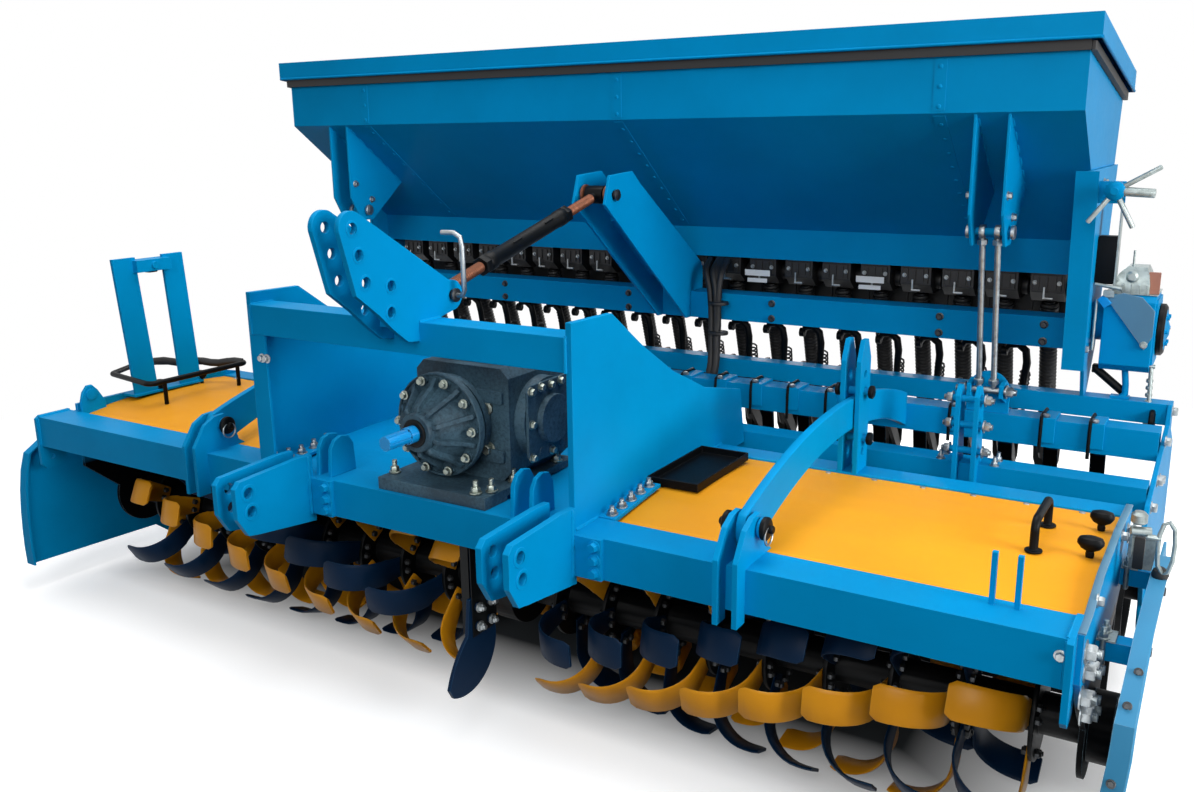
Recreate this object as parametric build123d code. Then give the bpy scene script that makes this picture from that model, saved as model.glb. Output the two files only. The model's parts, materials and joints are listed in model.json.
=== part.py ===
"""Rotary tiller with a mounted seed drill, about 3 m of working width.

Millimetres.  +X runs across the machine, -Y is the tractor side, +Y the drill
side, +Z is up and Z = 0 is the floor.  Most places are given as a station
(distance behind the front face of the front beam) and a height (above the top
face of that beam), because that is how the machine is set out on the bench.
"""
from build123d import *
from math import cos, sin, radians, atan2, degrees, hypot, pi
import os

# ---- driving dimensions -------------------------------------------------
BEAM_FACE_Y = -779.0        # front face of the front beam, from the middle of the machine
BEAM_TOP_Z = 600.0          # top face of the front beam above the floor
BEAM_HALF = 1550.0          # half length of the front beam
BEAM_DEEP = 110.0
BEAM_HIGH = 98.0
BEAM_WALL = 8.0
REAR_STATION = 700.0        # front face of the rear beam
REAR_SIZE = 80.0
REAR_TOP = 5.0
REAR_WALL = 6.0
DRIVE_X = 70.0              # hitch, gearbox and centre drive stand off the middle
SEAT = 0.3                  # gap at a seat between pieces that could rub
RUN = 5.0                   # running gap round what turns

DECK_SHEET = 5.0
DECK_FRONT = -14.0          # deck height where it leaves the front beam
DECK_CROWN = 18.0           # rise of the deck in the middle
GEARBOX_LOW = (DECK_FRONT + REAR_TOP - DECK_SHEET) / 2 + DECK_CROWN + SEAT   # sole of the gearbox

FRAME_X = 507.0             # middle of the two big centre plates
FRAME_THICK = 16.0
CROSS_TOP = 442.0           # top of the upper cross tube
CROSS_FACE = 10.0
CROSS_SIZE = 80.0
CROSS_WALL = 8.0

END_X = {-1: BEAM_HALF - 45, 1: BEAM_HALF + 12}     # inner faces of the end frames, either side of the middle
END_THICK = 12.0
END_TOP = 25.0

AXLE_STATION = 330.0        # rotor axle
AXLE_HEIGHT = -330.0
ROTOR_TIP = 255.0           # radius at the blade tips
ROTOR_TUBE = 45.0           # radius of the rotor tube
AXLE_R = 30.0
FLANGE_R = 105.0
FLANGE_THICK = 10.0
FLANGES = 9                 # flanges on each half
CASE_GAP = {-1: 162.0, 1: 140.0}    # centre case to the first flange of each half
END_GAP = {-1: 190.0, 1: 89.0}      # last flange of each half to the end frame
BLADES = 4                  # blades of one hand on a flange
HELIX_START = 52.0          # innermost inward blade below the front, degrees
HELIX_STEP = 9.5            # turn from one flange to the next, degrees
HAND_TURN = 45.0            # between neighbouring blades of the two hands, degrees
BLADE_THICK = 8.0
BLADE_WIDE = 70.0
BLADE_CLEAR = 9.0           # foot's end to the next flange's blades
BLADE_BEND = 60.0

CASE_X = 130.0              # middle of the centre drive case
CASE_WIDE = 70.0
CASE_R = 105.0
FOOT_X = 190.0              # plough foot under the centre drive

HITCH_SPAN = 825.0          # between the middles of the two lower hitch forks
HITCH_FORK = 70.0           # middle to middle of the plates of one fork
HITCH_THICK = 16.0
HITCH_BORE = 14.35
TOP_X = 40.0                # upper hitch, top link and drill mast
TOP_FORK = 80.0
TOP_THICK = 14.0
TOP_BORE = 12.85
PIN_R = 12.5

BELL_HEIGHT = 171.0         # shaft height of the gearbox
BELL_R = 130.0
BELL_STATION = 85.0
BELL_RIBS = 10
SHAFT_R = 17.5
NECK_R = 21.0               # shaft behind its splines
SHAFT_TIP = -112.0
SPLINE_LONG = 74.0
SPLINES = 6

ARM_X = {-1: -750.0, 1: 910.0}      # depth arms
ARM_PIN = (65.0, 70.0)      # station and height of their front pins
ARM_THICK = 20.0
ARM_PIN_R = 15.0
POST_THICK = 12.0

SHIELD_SHEET = 6.0
SHIELD_X = BEAM_HALF + 100  # inner face of the side shields
SHIELD_LEAN = 25.0          # how far the shield leans in at the floor
SHIELD_TOP = -40.0
SHIELD_ARM = 110.0          # hangers below the beam's top

ROLLER_STATION = 1180.0
ROLLER_R = 240.0
ROLLER_CORE = 165.0
ROLLER_SHELL = 8.0
ROLLER_HALF = 1560.0
ROLLER_TEETH = 10
RING_PITCH = 125.0
RING_THICK = 8.0
ROLLER_END_X = ROLLER_HALF + 30.0
ROLLER_END_THICK = 12.0
TUBE_A_STATION = 945.0      # front tube of the roller frame
TUBE_A_TOP = 0.0
TUBE_B_STATION = 1200.0     # middle tube
TUBE_B_TOP = 80.0
TUBE_C_STATION = 1400.0     # rear tube
TUBE_C_TOP = 112.0
TUBE = 80.0
TUBE_C = 60.0
TUBE_WALL = 6.0

HOPPER_HALF = 1362.0
HOPPER_WALL = 4.0
HOPPER_BAND = 909.0         # lower edge of the straight front band
HOPPER_NECK_FRONT = 1480.0
HOPPER_NECK_TOP = 550.0
HOPPER_FLOOR = 450.0
HOPPER_NECK_REAR = 1640.0
LID_HALF = 1389.0
LID_FRONT = 984.0
LID_DEEP = 787.0
LID_FRONT_LOW = 1074.0      # lower edge of the lid's front lip
LID_REAR_LOW = 968.0
LID_LIP = 60.0
LID_SHEET = 3.0
LID_GAP = 5.0
HOPPER_FRONT = LID_FRONT + 27.0
HOPPER_REAR = LID_FRONT + LID_DEEP - 26.0
HINGE_STATION = LID_FRONT + LID_DEEP + 19.0
HINGE_HEIGHT = LID_REAR_LOW + 35.0
HINGE_PIN_R = 6.0
HINGE_BORE = 6.3
LID_OPEN = 95.0             # degrees the lid swings back
INPUT_RATIO = 2.25          # turns of the input shaft for one of the rotor

BAR_STATION = 1400.0        # main bar of the drill
BAR_TOP = 335.0
BAR_SIZE = 90.0
BAR_WALL = 6.0
DRILL_SIDE_X = HOPPER_HALF + SEAT
DRILL_SIDE_THICK = 10.0

ROWS = 20                   # seed rows
ROW_PITCH = (2 * HOPPER_HALF - 124.0) / ROWS
ROW_SHAFT = 1560.0          # station of the metering shaft

TOPLINK_FRONT = (138.0, 490.0)      # pins of the top link
TOPLINK_REAR = (890.0, 690.0)
TOP_HOLES = [(-188, 677), (-173, 618), (-157, 556), (-77, 539), (-82, 479)]
MAST_FORK = 110.0
MAST_THICK = 10.0

HINGE_X = (-1000.0, 0.0, 1000.0)
LINK_X = HOPPER_HALF - 217.0        # link rods between the roller frame and the hopper
LINK_PIN_R = 10.0
LINK_TOP = (1092.0, 602.0)
LINK_LOW = (1182.0, 150.0)

os.makedirs("parts", exist_ok=True)
PARTS = {}


# ---- small helpers ------------------------------------------------------
def Y(station):
    """Model Y of a station behind the front beam's face."""
    return BEAM_FACE_Y + station


def Z(height):
    """Model Z of a height above the front beam's top."""
    return BEAM_TOP_Z + height


def block(x0, x1, s0, s1, h0, h1):
    """Box between two X values, two stations and two heights."""
    return Pos((x0 + x1) / 2, Y((s0 + s1) / 2), Z((h0 + h1) / 2)) * Box(
        abs(x1 - x0), abs(s1 - s0), abs(h1 - h0))


def side_outline(points):
    """Face in the plane square to X from (station, height) pairs."""
    return Plane.YZ * Polygon(*[(Y(s), Z(h)) for s, h in points], align=None)


def side_plate(x_mid, thick, points, holes=()):
    """Flat plate square to X; holes are (station, height, radius)."""
    plate = extrude(Pos(x_mid, 0, 0) * side_outline(points), amount=thick / 2, both=True)
    for s, h, r in holes:
        plate -= across(x_mid, thick * 2, s, h, r)
    return plate


def across(x_mid, length, s, h, r):
    """Round bar lying along X."""
    return Pos(x_mid, Y(s), Z(h)) * Rot(0, 90, 0) * Cylinder(r, length)


def along(x, s0, s1, h, r):
    """Round bar lying along Y between two stations."""
    return Pos(x, Y((s0 + s1) / 2), Z(h)) * Rot(90, 0, 0) * Cylinder(r, abs(s1 - s0))


def bar_between(p, q, r):
    """Round bar between two (x, station, height) points."""
    a = Vector(p[0], Y(p[1]), Z(p[2]))
    b = Vector(q[0], Y(q[1]), Z(q[2]))
    axis = b - a
    plane = Plane(origin=a, z_dir=axis)
    return extrude(plane * Circle(r), amount=axis.length)


def square_tube(x0, x1, s0, deep, top, high, wall):
    """Open-ended box tube along X."""
    outer = block(x0, x1, s0, s0 + deep, top - high, top)
    inner = block(x0 - 1, x1 + 1, s0 + wall, s0 + deep - wall, top - high + wall, top - wall)
    return outer - inner


def mirrored(shape):
    """Copy of a shape on the other side of the middle plane."""
    return mirror(shape, about=Plane.YZ)


def keep(name, shape):
    """Register one node."""
    PARTS[name] = shape


# ---- main frame ---------------------------------------------------------
def front_beam():
    """Box beam with welded end plates that hang below it and two upright pegs."""
    beam = square_tube(-BEAM_HALF, BEAM_HALF, 0, BEAM_DEEP, 0, BEAM_HIGH, BEAM_WALL)
    for side in (-1, 1):
        beam += side_plate(side * (BEAM_HALF + 6), 12, [
            (-8, -6), (6, 4), (BEAM_DEEP, 4), (BEAM_DEEP, -90), (64, -168), (48, -176),
            (8, -176), (-8, -160)], [(30, -140, 9)])
    for x in (BEAM_HALF - 146, BEAM_HALF - 100):
        beam += block(x - 5, x + 5, 78, 90, 0, 105)
    return beam


def rear_beam():
    return square_tube(-END_X[-1], END_X[1], REAR_STATION, REAR_SIZE, REAR_TOP, REAR_SIZE, REAR_WALL)


def deck_top(s):
    """Height of the crowned deck's upper face at a station."""
    s0, s1 = BEAM_DEEP, REAR_STATION
    h0, h1 = DECK_FRONT, REAR_TOP - DECK_SHEET
    t = (s - s0) / (s1 - s0)
    return h0 + (h1 - h0) * t + 4 * DECK_CROWN * t * (1 - t)


def deck_seat(s, half):
    """Height that clears the deck everywhere within half of a station."""
    crest = BEAM_DEEP + (REAR_STATION - BEAM_DEEP) * (0.5 + (REAR_TOP - DECK_SHEET - DECK_FRONT) / (8 * DECK_CROWN))
    nearest = min(max(crest, s - half), s + half)
    return deck_top(nearest) + 2 * SEAT


def deck(x0, x1):
    """Crowned sheet between the two beams."""
    s0, s1 = BEAM_DEEP, REAR_STATION
    top0, top1 = DECK_FRONT, REAR_TOP - DECK_SHEET
    mid = ((s0 + s1) / 2, (top0 + top1) / 2 + DECK_CROWN)
    upper = ThreePointArc((Y(s0), Z(top0)), (Y(mid[0]), Z(mid[1])), (Y(s1), Z(top1)))
    lower = ThreePointArc((Y(s0), Z(top0 - DECK_SHEET)), (Y(mid[0]), Z(mid[1] - DECK_SHEET)),
                          (Y(s1), Z(top1 - DECK_SHEET)))
    ends = [Line(upper @ 0, lower @ 0), Line(upper @ 1, lower @ 1)]
    face = make_face([upper, lower] + ends)
    return extrude(Pos((x0 + x1) / 2, 0, 0) * (Plane.YZ * face), amount=abs(x1 - x0) / 2, both=True)


def centre_plate():
    """Right centre plate with its swept rear edge and the notch over both beams."""
    rear_end = REAR_STATION + REAR_SIZE
    sweep = [(13, 474), (184, 470), (326, 371), (481, 278), (672, 193), (903, 140), (939, -29)]
    foot = [(rear_end, -29), (rear_end, REAR_TOP), (REAR_STATION, REAR_TOP),
            (REAR_STATION, -40), (BEAM_DEEP, -40), (BEAM_DEEP, 0), (13, 0)]
    return side_plate(FRAME_X, FRAME_THICK, sweep + foot)


def top_crossbeam():
    inner = FRAME_X - FRAME_THICK / 2
    return square_tube(-inner, inner, CROSS_FACE, CROSS_SIZE, CROSS_TOP, CROSS_SIZE, CROSS_WALL)


def end_frame(side):
    """End frame: plate down to the rotor bearing, boss and shield arms.

    The left plate stands between the beams; the right one lies against the
    front beam's end plate.
    """
    x_mid = END_X[side] + END_THICK / 2
    rear_end = REAR_STATION + REAR_SIZE
    s, h = AXLE_STATION, AXLE_HEIGHT
    if side > 0:
        front = [(30, 0), (BEAM_DEEP, 0), (270, END_TOP), (540, END_TOP)]
        low = [(BEAM_DEEP, -190), (30, -BEAM_HIGH)]
    else:
        front = [(BEAM_DEEP, END_TOP), (REAR_STATION, END_TOP)]
        low = [(BEAM_DEEP, -190)]
    web = side_plate(x_mid, END_THICK, front + [
        (rear_end, REAR_TOP), (rear_end, -110), (s + 105, h + 40), (s - 105, h + 40)] + low)
    web += across(x_mid, END_THICK, s, h, 112)
    web += across(END_X[side] + END_THICK + 22, 44, s, h, 75)
    for arm_s, arm_h in ((240, -SHIELD_ARM), (640, -SHIELD_ARM)):
        web += block(END_X[side] + END_THICK, SHIELD_X, arm_s - 20, arm_s + 20, arm_h - 20, arm_h + 20)
    web -= across(x_mid, 400, s, h, AXLE_R + SEAT)
    return web if side > 0 else mirrored(web)


def side_shield():
    """Right side shield: a bent sheet that leans in a little towards the floor."""
    x0, low, knee = SHIELD_X, -BEAM_TOP_Z, -200.0
    foot = x0 - SHIELD_LEAN
    profile = [(x0, Z(SHIELD_TOP)), (x0 + SHIELD_SHEET, Z(SHIELD_TOP)), (x0 + SHIELD_SHEET, Z(knee)),
               (foot + SHIELD_SHEET, Z(low)), (foot, Z(low)), (x0, Z(knee))]
    sheet = extrude(Pos(0, Y(400), 0) * (Plane.XZ * Polygon(*profile, align=None)),
                    amount=600, both=True)
    front = ThreePointArc((Y(6), Z(-140)), (Y(-36), Z(-330)), (Y(-47), Z(-510)))
    rest = Polyline((Y(-47), Z(-510)), (Y(430), Z(-526)), (Y(520), Z(low)), (Y(650), Z(low)), (Y(730), Z(-520)),
                    (Y(760), Z(-100)), (Y(700), Z(SHIELD_TOP)), (Y(180), Z(SHIELD_TOP)), (Y(6), Z(-140)))
    face = make_face([front] + list(rest.edges()))
    return sheet & extrude(Pos(x0, 0, 0) * (Plane.YZ * face), amount=120, both=True)


def rear_board():
    """Levelling board hung behind the rotor."""
    s0 = REAR_STATION + REAR_SIZE
    return side_outline([(s0, -45), (s0 + 8, -45), (s0 + 40, -300), (s0 + 20, -520),
                         (s0 + 12, -520), (s0 + 32, -300), (s0, -70)])


# ---- gearbox and drive --------------------------------------------------
def gearbox_housing():
    x = DRIVE_X
    sole = GEARBOX_LOW
    body = block(x - 115, x + 175, 140, 390, sole + 20, 318)
    body = chamfer(body.edges().filter_by(Axis.Y), 24)
    body += block(x - 150, x + 190, 12, 400, sole, sole + 20)
    body += block(x - 150, x + 190, 12, BEAM_DEEP - 8, 0, sole)
    body += block(x - 60, x + 120, 175, 355, 318, 332)
    cover = across(x + 190, 30, 265, 175, 105) + across(x + 215, 30, 265, 175, 62)
    for a in range(0, 360, 60):
        cover += across(x + 208, 14, 265 + 88 * cos(radians(a)), 175 + 88 * sin(radians(a)), 10)
    body += cover
    return body - along(x, 100, 240, BELL_HEIGHT, NECK_R + SEAT)


def gearbox_bell():
    """Cast bell round the input shaft: flange, cone, nose and radial ribs."""
    x, h, s = DRIVE_X, BELL_HEIGHT, BELL_STATION
    back = 140.0
    profile = [(0, back), (100, back), (100, s + 15), (BELL_R, s + 15), (BELL_R, s),
               (96, s), (92, s - 12), (58, 18), (46, 14), (46, -8), (0, -8)]
    face = make_face(Polyline(*[(r, st) for r, st in profile], close=True).edges())
    bell = Pos(x, Y(0), Z(h)) * revolve(Plane.XY * face, axis=Axis.Y)
    rib = make_face(Polyline((57, 19), (122, s + 5), (88, s + 5), (50, 30), close=True).edges())
    rib = extrude(rib, amount=5, both=True)
    for i in range(BELL_RIBS):
        bell += Pos(x, Y(0), Z(h)) * Rot(0, i * 360 / BELL_RIBS + 18, 0) * rib
    for i in range(BELL_RIBS):
        a = radians(i * 360 / BELL_RIBS)
        bell += along(x + 116 * cos(a), s - 9, s, h + 116 * sin(a), 9)
    return bell - along(x, -60, 160, h, NECK_R + SEAT)


def pto_shaft():
    """Splined stub with a thicker neck that runs into the gearbox."""
    root = SHAFT_TIP + SPLINE_LONG
    shaft = along(DRIVE_X, SHAFT_TIP, root, BELL_HEIGHT, SHAFT_R)
    shaft += along(DRIVE_X, root, 180, BELL_HEIGHT, NECK_R)
    for i in range(SPLINES):
        a = radians(i * 360 / SPLINES)
        key = Pos(DRIVE_X + SHAFT_R * cos(a), Y((SHAFT_TIP + root) / 2), Z(BELL_HEIGHT + SHAFT_R * sin(a)))
        shaft -= key * Rot(0, -degrees(a), 0) * Box(5, SPLINE_LONG + 2, 3)
    return shaft


def centre_case():
    """Gear case that drives the middle of the rotor, with the bolted foot bracket."""
    s, h, r = AXLE_STATION, AXLE_HEIGHT, CASE_R
    case = block(CASE_X - CASE_WIDE / 2, CASE_X + CASE_WIDE / 2, s - r, s + r, h, GEARBOX_LOW)
    case += across(CASE_X, CASE_WIDE, s, h, r)
    return case - across(CASE_X, 300, s, h, AXLE_R + SEAT)


def plough_foot():
    """Stem under the beam with a curved forward-pointing foot bolted to its side."""
    x = FOOT_X
    stem = side_plate(x, 20, [(12, -BEAM_HIGH), (100, -BEAM_HIGH), (100, -330), (84, -352), (12, -352)])
    nose = ThreePointArc((Y(-12), Z(-330)), (Y(-50), Z(-368)), (Y(-88), Z(-440)))
    heel = ThreePointArc((Y(-74), Z(-466)), (Y(40), Z(-462)), (Y(96), Z(-330)))
    face = make_face([nose, Line(nose @ 1, heel @ 0), heel, Line(heel @ 1, (Y(92), Z(-236))),
                      Line((Y(92), Z(-236)), (Y(0), Z(-236))), Line((Y(0), Z(-236)), nose @ 0)])
    foot = extrude(Pos(x + 15, 0, 0) * (Plane.YZ * face), amount=5, both=True)
    for s, h in ((26, -262), (74, -262), (26, -312), (74, -312)):
        foot += across(x + 24, 10, s, h, 11)
    return stem + foot


# ---- three-point hitch --------------------------------------------------
def lower_hitch(x_mid):
    outline = [(-236, 52), (-252, 36), (-252, -42), (-222, -92), (-190, -98), (0, -122),
               (0, 60), (-50, 62)]
    holes = [(-213, 18, HITCH_BORE), (-208, -32, HITCH_BORE)]
    fork = side_plate(x_mid - HITCH_FORK / 2, HITCH_THICK, outline, holes)
    fork += side_plate(x_mid + HITCH_FORK / 2, HITCH_THICK, outline, holes)
    fork += block(x_mid - 115, x_mid + 115, -12, 0, -BEAM_HIGH, 0)
    return fork


def top_hitch():
    """Pair of holed plates on the upper cross tube."""
    s0, h0 = TOP_HOLES[0]
    head = ThreePointArc((Y(s0 - 38), Z(h0 - 6)), (Y(s0 - 4), Z(h0 + 38)), (Y(s0 + 24), Z(h0 + 30)))
    s1, h1 = TOPLINK_FRONT
    lug = ThreePointArc((Y(s1 - 8), Z(h1 + 36)), (Y(s1 + 37), Z(h1)), (Y(s1 + 10), Z(h1 - 36)))
    foot = [(CROSS_FACE + CROSS_SIZE, CROSS_TOP), (CROSS_FACE, CROSS_TOP), (CROSS_FACE, 396), (-29, 401),
            (-76, 437), (-121, 478), (-187, 529)]
    points = [(Y(s), Z(h)) for s, h in foot]
    edges = [head, Line(head @ 1, lug @ 0), lug, Line(lug @ 1, points[0])]
    edges += [Line(a, b) for a, b in zip(points, points[1:])] + [Line(points[-1], head @ 0)]
    one = extrude(Plane.YZ * make_face(edges), amount=TOP_THICK / 2, both=True)
    for s, h in TOP_HOLES + [TOPLINK_FRONT]:
        one -= across(0, TOP_THICK * 2, s, h, TOP_BORE)
    pair = Pos(TOP_X - TOP_FORK / 2, 0, 0) * one + Pos(TOP_X + TOP_FORK / 2, 0, 0) * one
    return pair + block(TOP_X - TOP_FORK / 2, TOP_X + TOP_FORK / 2, -36, -16, 432, 500)


def top_link():
    """Turnbuckle: two threaded ends in a long sleeve, with an eye and pin at each end."""
    (s0, h0), (s1, h1) = TOPLINK_FRONT, TOPLINK_REAR
    length = hypot(s1 - s0, h1 - h0)
    us, uh = (s1 - s0) / length, (h1 - h0) / length

    def at(d):
        return (TOP_X, s0 + us * d, h0 + uh * d)

    link = bar_between(at(20), at(length - 20), 13)
    link += bar_between(at(190), at(length - 190), 21)
    link += across(TOP_X, 60, s0, h0, 27) + across(TOP_X, 60, s1, h1, 27)
    link += across(TOP_X, TOP_FORK + TOP_THICK + 24, s0, h0, PIN_R)
    link += across(TOP_X, MAST_FORK + MAST_THICK + 24, s1, h1, PIN_R)
    return link


# ---- drill mast ---------------------------------------------------------
def seeder_mast():
    end = BAR_STATION + BAR_SIZE
    outline = [(868, 748), (1000, 756), (1050, 716), (end, 420), (end, BAR_TOP), (BAR_STATION, BAR_TOP),
               (BAR_STATION, BAR_TOP - BAR_SIZE), (BAR_STATION - 30, BAR_TOP - BAR_SIZE), (838, 664)]
    hole = [(TOPLINK_REAR[0], TOPLINK_REAR[1], TOP_BORE)]
    mast = side_plate(TOP_X - MAST_FORK / 2, MAST_THICK, outline, hole)
    mast += side_plate(TOP_X + MAST_FORK / 2, MAST_THICK, outline, hole)
    slope = atan2(BAR_TOP - BAR_SIZE - 664, BAR_STATION - 30 - 838)
    back = Pos(TOP_X, Y(1180), Z(500)) * Rot(degrees(slope), 0, 0) * Box(MAST_FORK, 330, 8)
    return mast + back


# ---- roller arms --------------------------------------------------------
def roller_arm(x_mid):
    """Arched flat arm from the beam clevis back to the middle tube."""
    end = TUBE_B_STATION
    s, h = ARM_PIN
    upper = ThreePointArc((Y(s - 20), Z(h + 31)), (Y(540), Z(200)), (Y(end), Z(112)))
    lower = ThreePointArc((Y(end), Z(12)), (Y(610), Z(124)), (Y(s + 39), Z(h - 50)))
    nose = ThreePointArc((Y(s + 39), Z(h - 50)), (Y(s - 34), Z(h - 14)), (Y(s - 20), Z(h + 31)))
    face = make_face([upper, Line(upper @ 1, lower @ 0), lower, nose])
    arm = extrude(Pos(x_mid, 0, 0) * (Plane.YZ * face), amount=ARM_THICK / 2, both=True)
    return arm - across(x_mid, ARM_THICK * 2, s, h, ARM_PIN_R + SEAT)


def arm_clevis(x_mid):
    """Two plates over the beam's front and top, with the arm's pin."""
    s, h = ARM_PIN
    outline = [(-40, -BEAM_HIGH - 20), (0, -BEAM_HIGH - 20), (0, 0), (s + 70, 0), (s + 48, 16), (s + 38, h - 14),
               (s + 32, h + 14), (s + 6, h + 32), (s - 28, h + 30), (s - 64, h + 12), (-40, 24)]
    offset = ARM_THICK / 2 + 6 + 6
    clevis = side_plate(x_mid - offset, 12, outline) + side_plate(x_mid + offset, 12, outline)
    clevis += across(x_mid, 2 * offset + 40, s, h, ARM_PIN_R)
    for side in (-1, 1):
        clevis += across(x_mid + side * (offset + 14), 10, s, h, 22)
    return clevis


def depth_posts(x_mid):
    """Two pointed flat bars on the rear beam with pins over and under the arm."""
    s0, s1 = REAR_STATION, REAR_STATION + REAR_SIZE
    mid = (s0 + s1) / 2
    outline = [(s0, REAR_TOP), (s1, REAR_TOP), (s1, 300), (mid + 14, 352), (mid - 14, 352), (s0, 300)]
    offset = ARM_THICK / 2 + 4 + POST_THICK / 2
    holes = [(mid, 262, 11), (mid, 56, 11)]
    posts = side_plate(x_mid - offset, POST_THICK, outline, holes)
    posts += side_plate(x_mid + offset, POST_THICK, outline, holes)
    for h in (216, 92):
        posts += across(x_mid, 2 * offset + 44, mid, h, 10)
    return posts


def portal_frame():
    """Upright frame of two flat bars on a foot welded inside the left end frame."""
    x, foot = 55 - END_X[-1], END_TOP
    legs = side_plate(x, END_THICK, [(287, foot), (375, foot), (342, 486), (256, 486)])
    legs += side_plate(x, END_THICK, [(468, foot), (551, foot), (527, 486), (446, 486)])
    legs += block(x - 30, x + 30, 330, 462, 436, 476)
    legs += across(x + 14, 50, 396, 456, 12)
    return legs + block(-END_X[-1], x + 12, 280, 558, foot - 8, foot)


def loop_rail():
    """Bent round-bar guard loop on two feet at the left end of the deck."""
    rod, level, inner = 9.0, 84.0, 203 - END_X[-1]
    corners = [(inner, 660), (inner - 345, 455), (inner - 266, 288), (inner, 245)]
    path = FilletPolyline(*[(x, Y(s), Z(level)) for x, s in corners], radius=24, close=True)
    rail = sweep(Plane(origin=path @ 0, z_dir=path % 0) * Circle(rod), path=path)
    for s in (300, 600):
        rail += Pos(inner, Y(s), Z((deck_seat(s, 7) + level) / 2)) * Cylinder(7, level - deck_seat(s, 7))
    return rail


def deck_tray():
    """Shallow open tray beside the right centre plate."""
    x0 = FRAME_X + FRAME_THICK / 2 + SEAT
    s0, s1 = 345.0, 650.0
    low = deck_seat((s0 + s1) / 2, (s1 - s0) / 2)
    return block(x0, x0 + 140, s0, s1, low, low + 22) - block(x0 + 4, x0 + 136, s0 + 4, s1 - 4, low + 4, low + 40)


def deck_handle():
    """Bent grab handle on two feet near the right end of the deck."""
    x, s0, s1, level = END_X[1] - 134, 362.0, 528.0, 78.0
    foot0, foot1 = deck_seat(s0, 18), deck_seat(s1, 18)
    path = FilletPolyline((x, Y(s0), Z(foot0)), (x, Y(s0), Z(level)), (x, Y(s1), Z(level)),
                          (x, Y(s1), Z(foot1)), radius=24)
    rod = sweep(Plane(origin=path @ 0, z_dir=path % 0) * Circle(9), path=path)
    for s, foot in ((s0, foot0), (s1, foot1)):
        rod += Pos(x, Y(s), Z(foot + 2.5)) * Cylinder(18, 5)
    return rod


# ---- rotor --------------------------------------------------------------
def rotor_half(side):
    """Tube, flanges and end stub of one rotor half; side is -1 or +1."""
    x0 = CASE_X + side * (CASE_WIDE / 2 + RUN)
    x1 = side * (END_X[side] - RUN)
    s, h = AXLE_STATION, AXLE_HEIGHT
    half = across((x0 + x1) / 2, abs(x1 - x0), s, h, ROTOR_TUBE)
    half += across(side * (END_X[side] + 20), 60, s, h, AXLE_R)
    half += across(CASE_X + side * (CASE_WIDE / 4 + RUN / 2), CASE_WIDE / 2 + RUN, s, h, AXLE_R)
    for x, _ in flange_places(side):
        half += across(x, FLANGE_THICK, s, h, FLANGE_R)
    return half


def flange_pitch(side):
    last = END_X[side] - END_GAP[side]
    first = side * CASE_X + CASE_WIDE / 2 + CASE_GAP[side]
    return (last - first) / (FLANGES - 1)


def flange_places(side):
    """(x, turn in degrees) of each flange of one half, from the middle outward."""
    first = side * CASE_X + CASE_WIDE / 2 + CASE_GAP[side]
    return [(side * (first + i * flange_pitch(side)), HELIX_START - HELIX_STEP * i)
            for i in range(FLANGES)]


def blade(toward, reach):
    """One bent blade pointing along +Z from the axle, its foot along X to one side."""
    t, bend, tip = BLADE_THICK, BLADE_BEND, ROTOR_TIP
    root = FLANGE_R - 38
    outer_r, inner_r = bend, bend - t
    cx, cz = -bend, tip - bend
    a45 = radians(45)
    outer = ThreePointArc((0, cz), (cx + outer_r * cos(a45), cz + outer_r * sin(a45)), (cx, tip))
    inner = ThreePointArc((cx, tip - t), (cx + inner_r * cos(a45), cz + inner_r * sin(a45)), (-t, cz))
    free = -reach
    lines = [Line((0, root), (0, cz)), outer, Line((cx, tip), (free, tip)),
             Line((free, tip), (free, tip - t)), Line((free, tip - t), (cx, tip - t)), inner,
             Line((-t, cz), (-t, root)), Line((-t, root), (0, root))]
    body = extrude(Plane.XZ * make_face(lines), amount=BLADE_WIDE / 2, both=True)
    body -= Pos(free, BLADE_WIDE / 2 + 6, tip) * Rot(0, 0, 24) * Box(60, 60, 60)
    return body if toward < 0 else mirror(body, about=Plane.YZ)


def blade_set(side, hand):
    """All blades of one hand on one half; the foot points along hand.

    The flange next to an end frame carries no blade that points outward, and a
    flange whose inward feet would reach the centre case carries none of those.
    """
    reach = flange_pitch(side) - BLADE_CLEAR
    one = blade(hand, reach)
    places = flange_places(side)
    if hand == side:
        places = places[:-1]
    elif CASE_GAP[side] < reach + FLANGE_THICK / 2 + RUN:
        places = places[1:]
    lag = HAND_TURN if hand == side else 0
    out = []
    for x, turn in places:
        for i in range(BLADES):
            place = Pos(x + hand * FLANGE_THICK / 2, Y(AXLE_STATION), Z(AXLE_HEIGHT))
            out.append(place * Rot(90 + turn - lag + i * 360 / BLADES, 0, 0) * one)
    return Compound(children=out)


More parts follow.
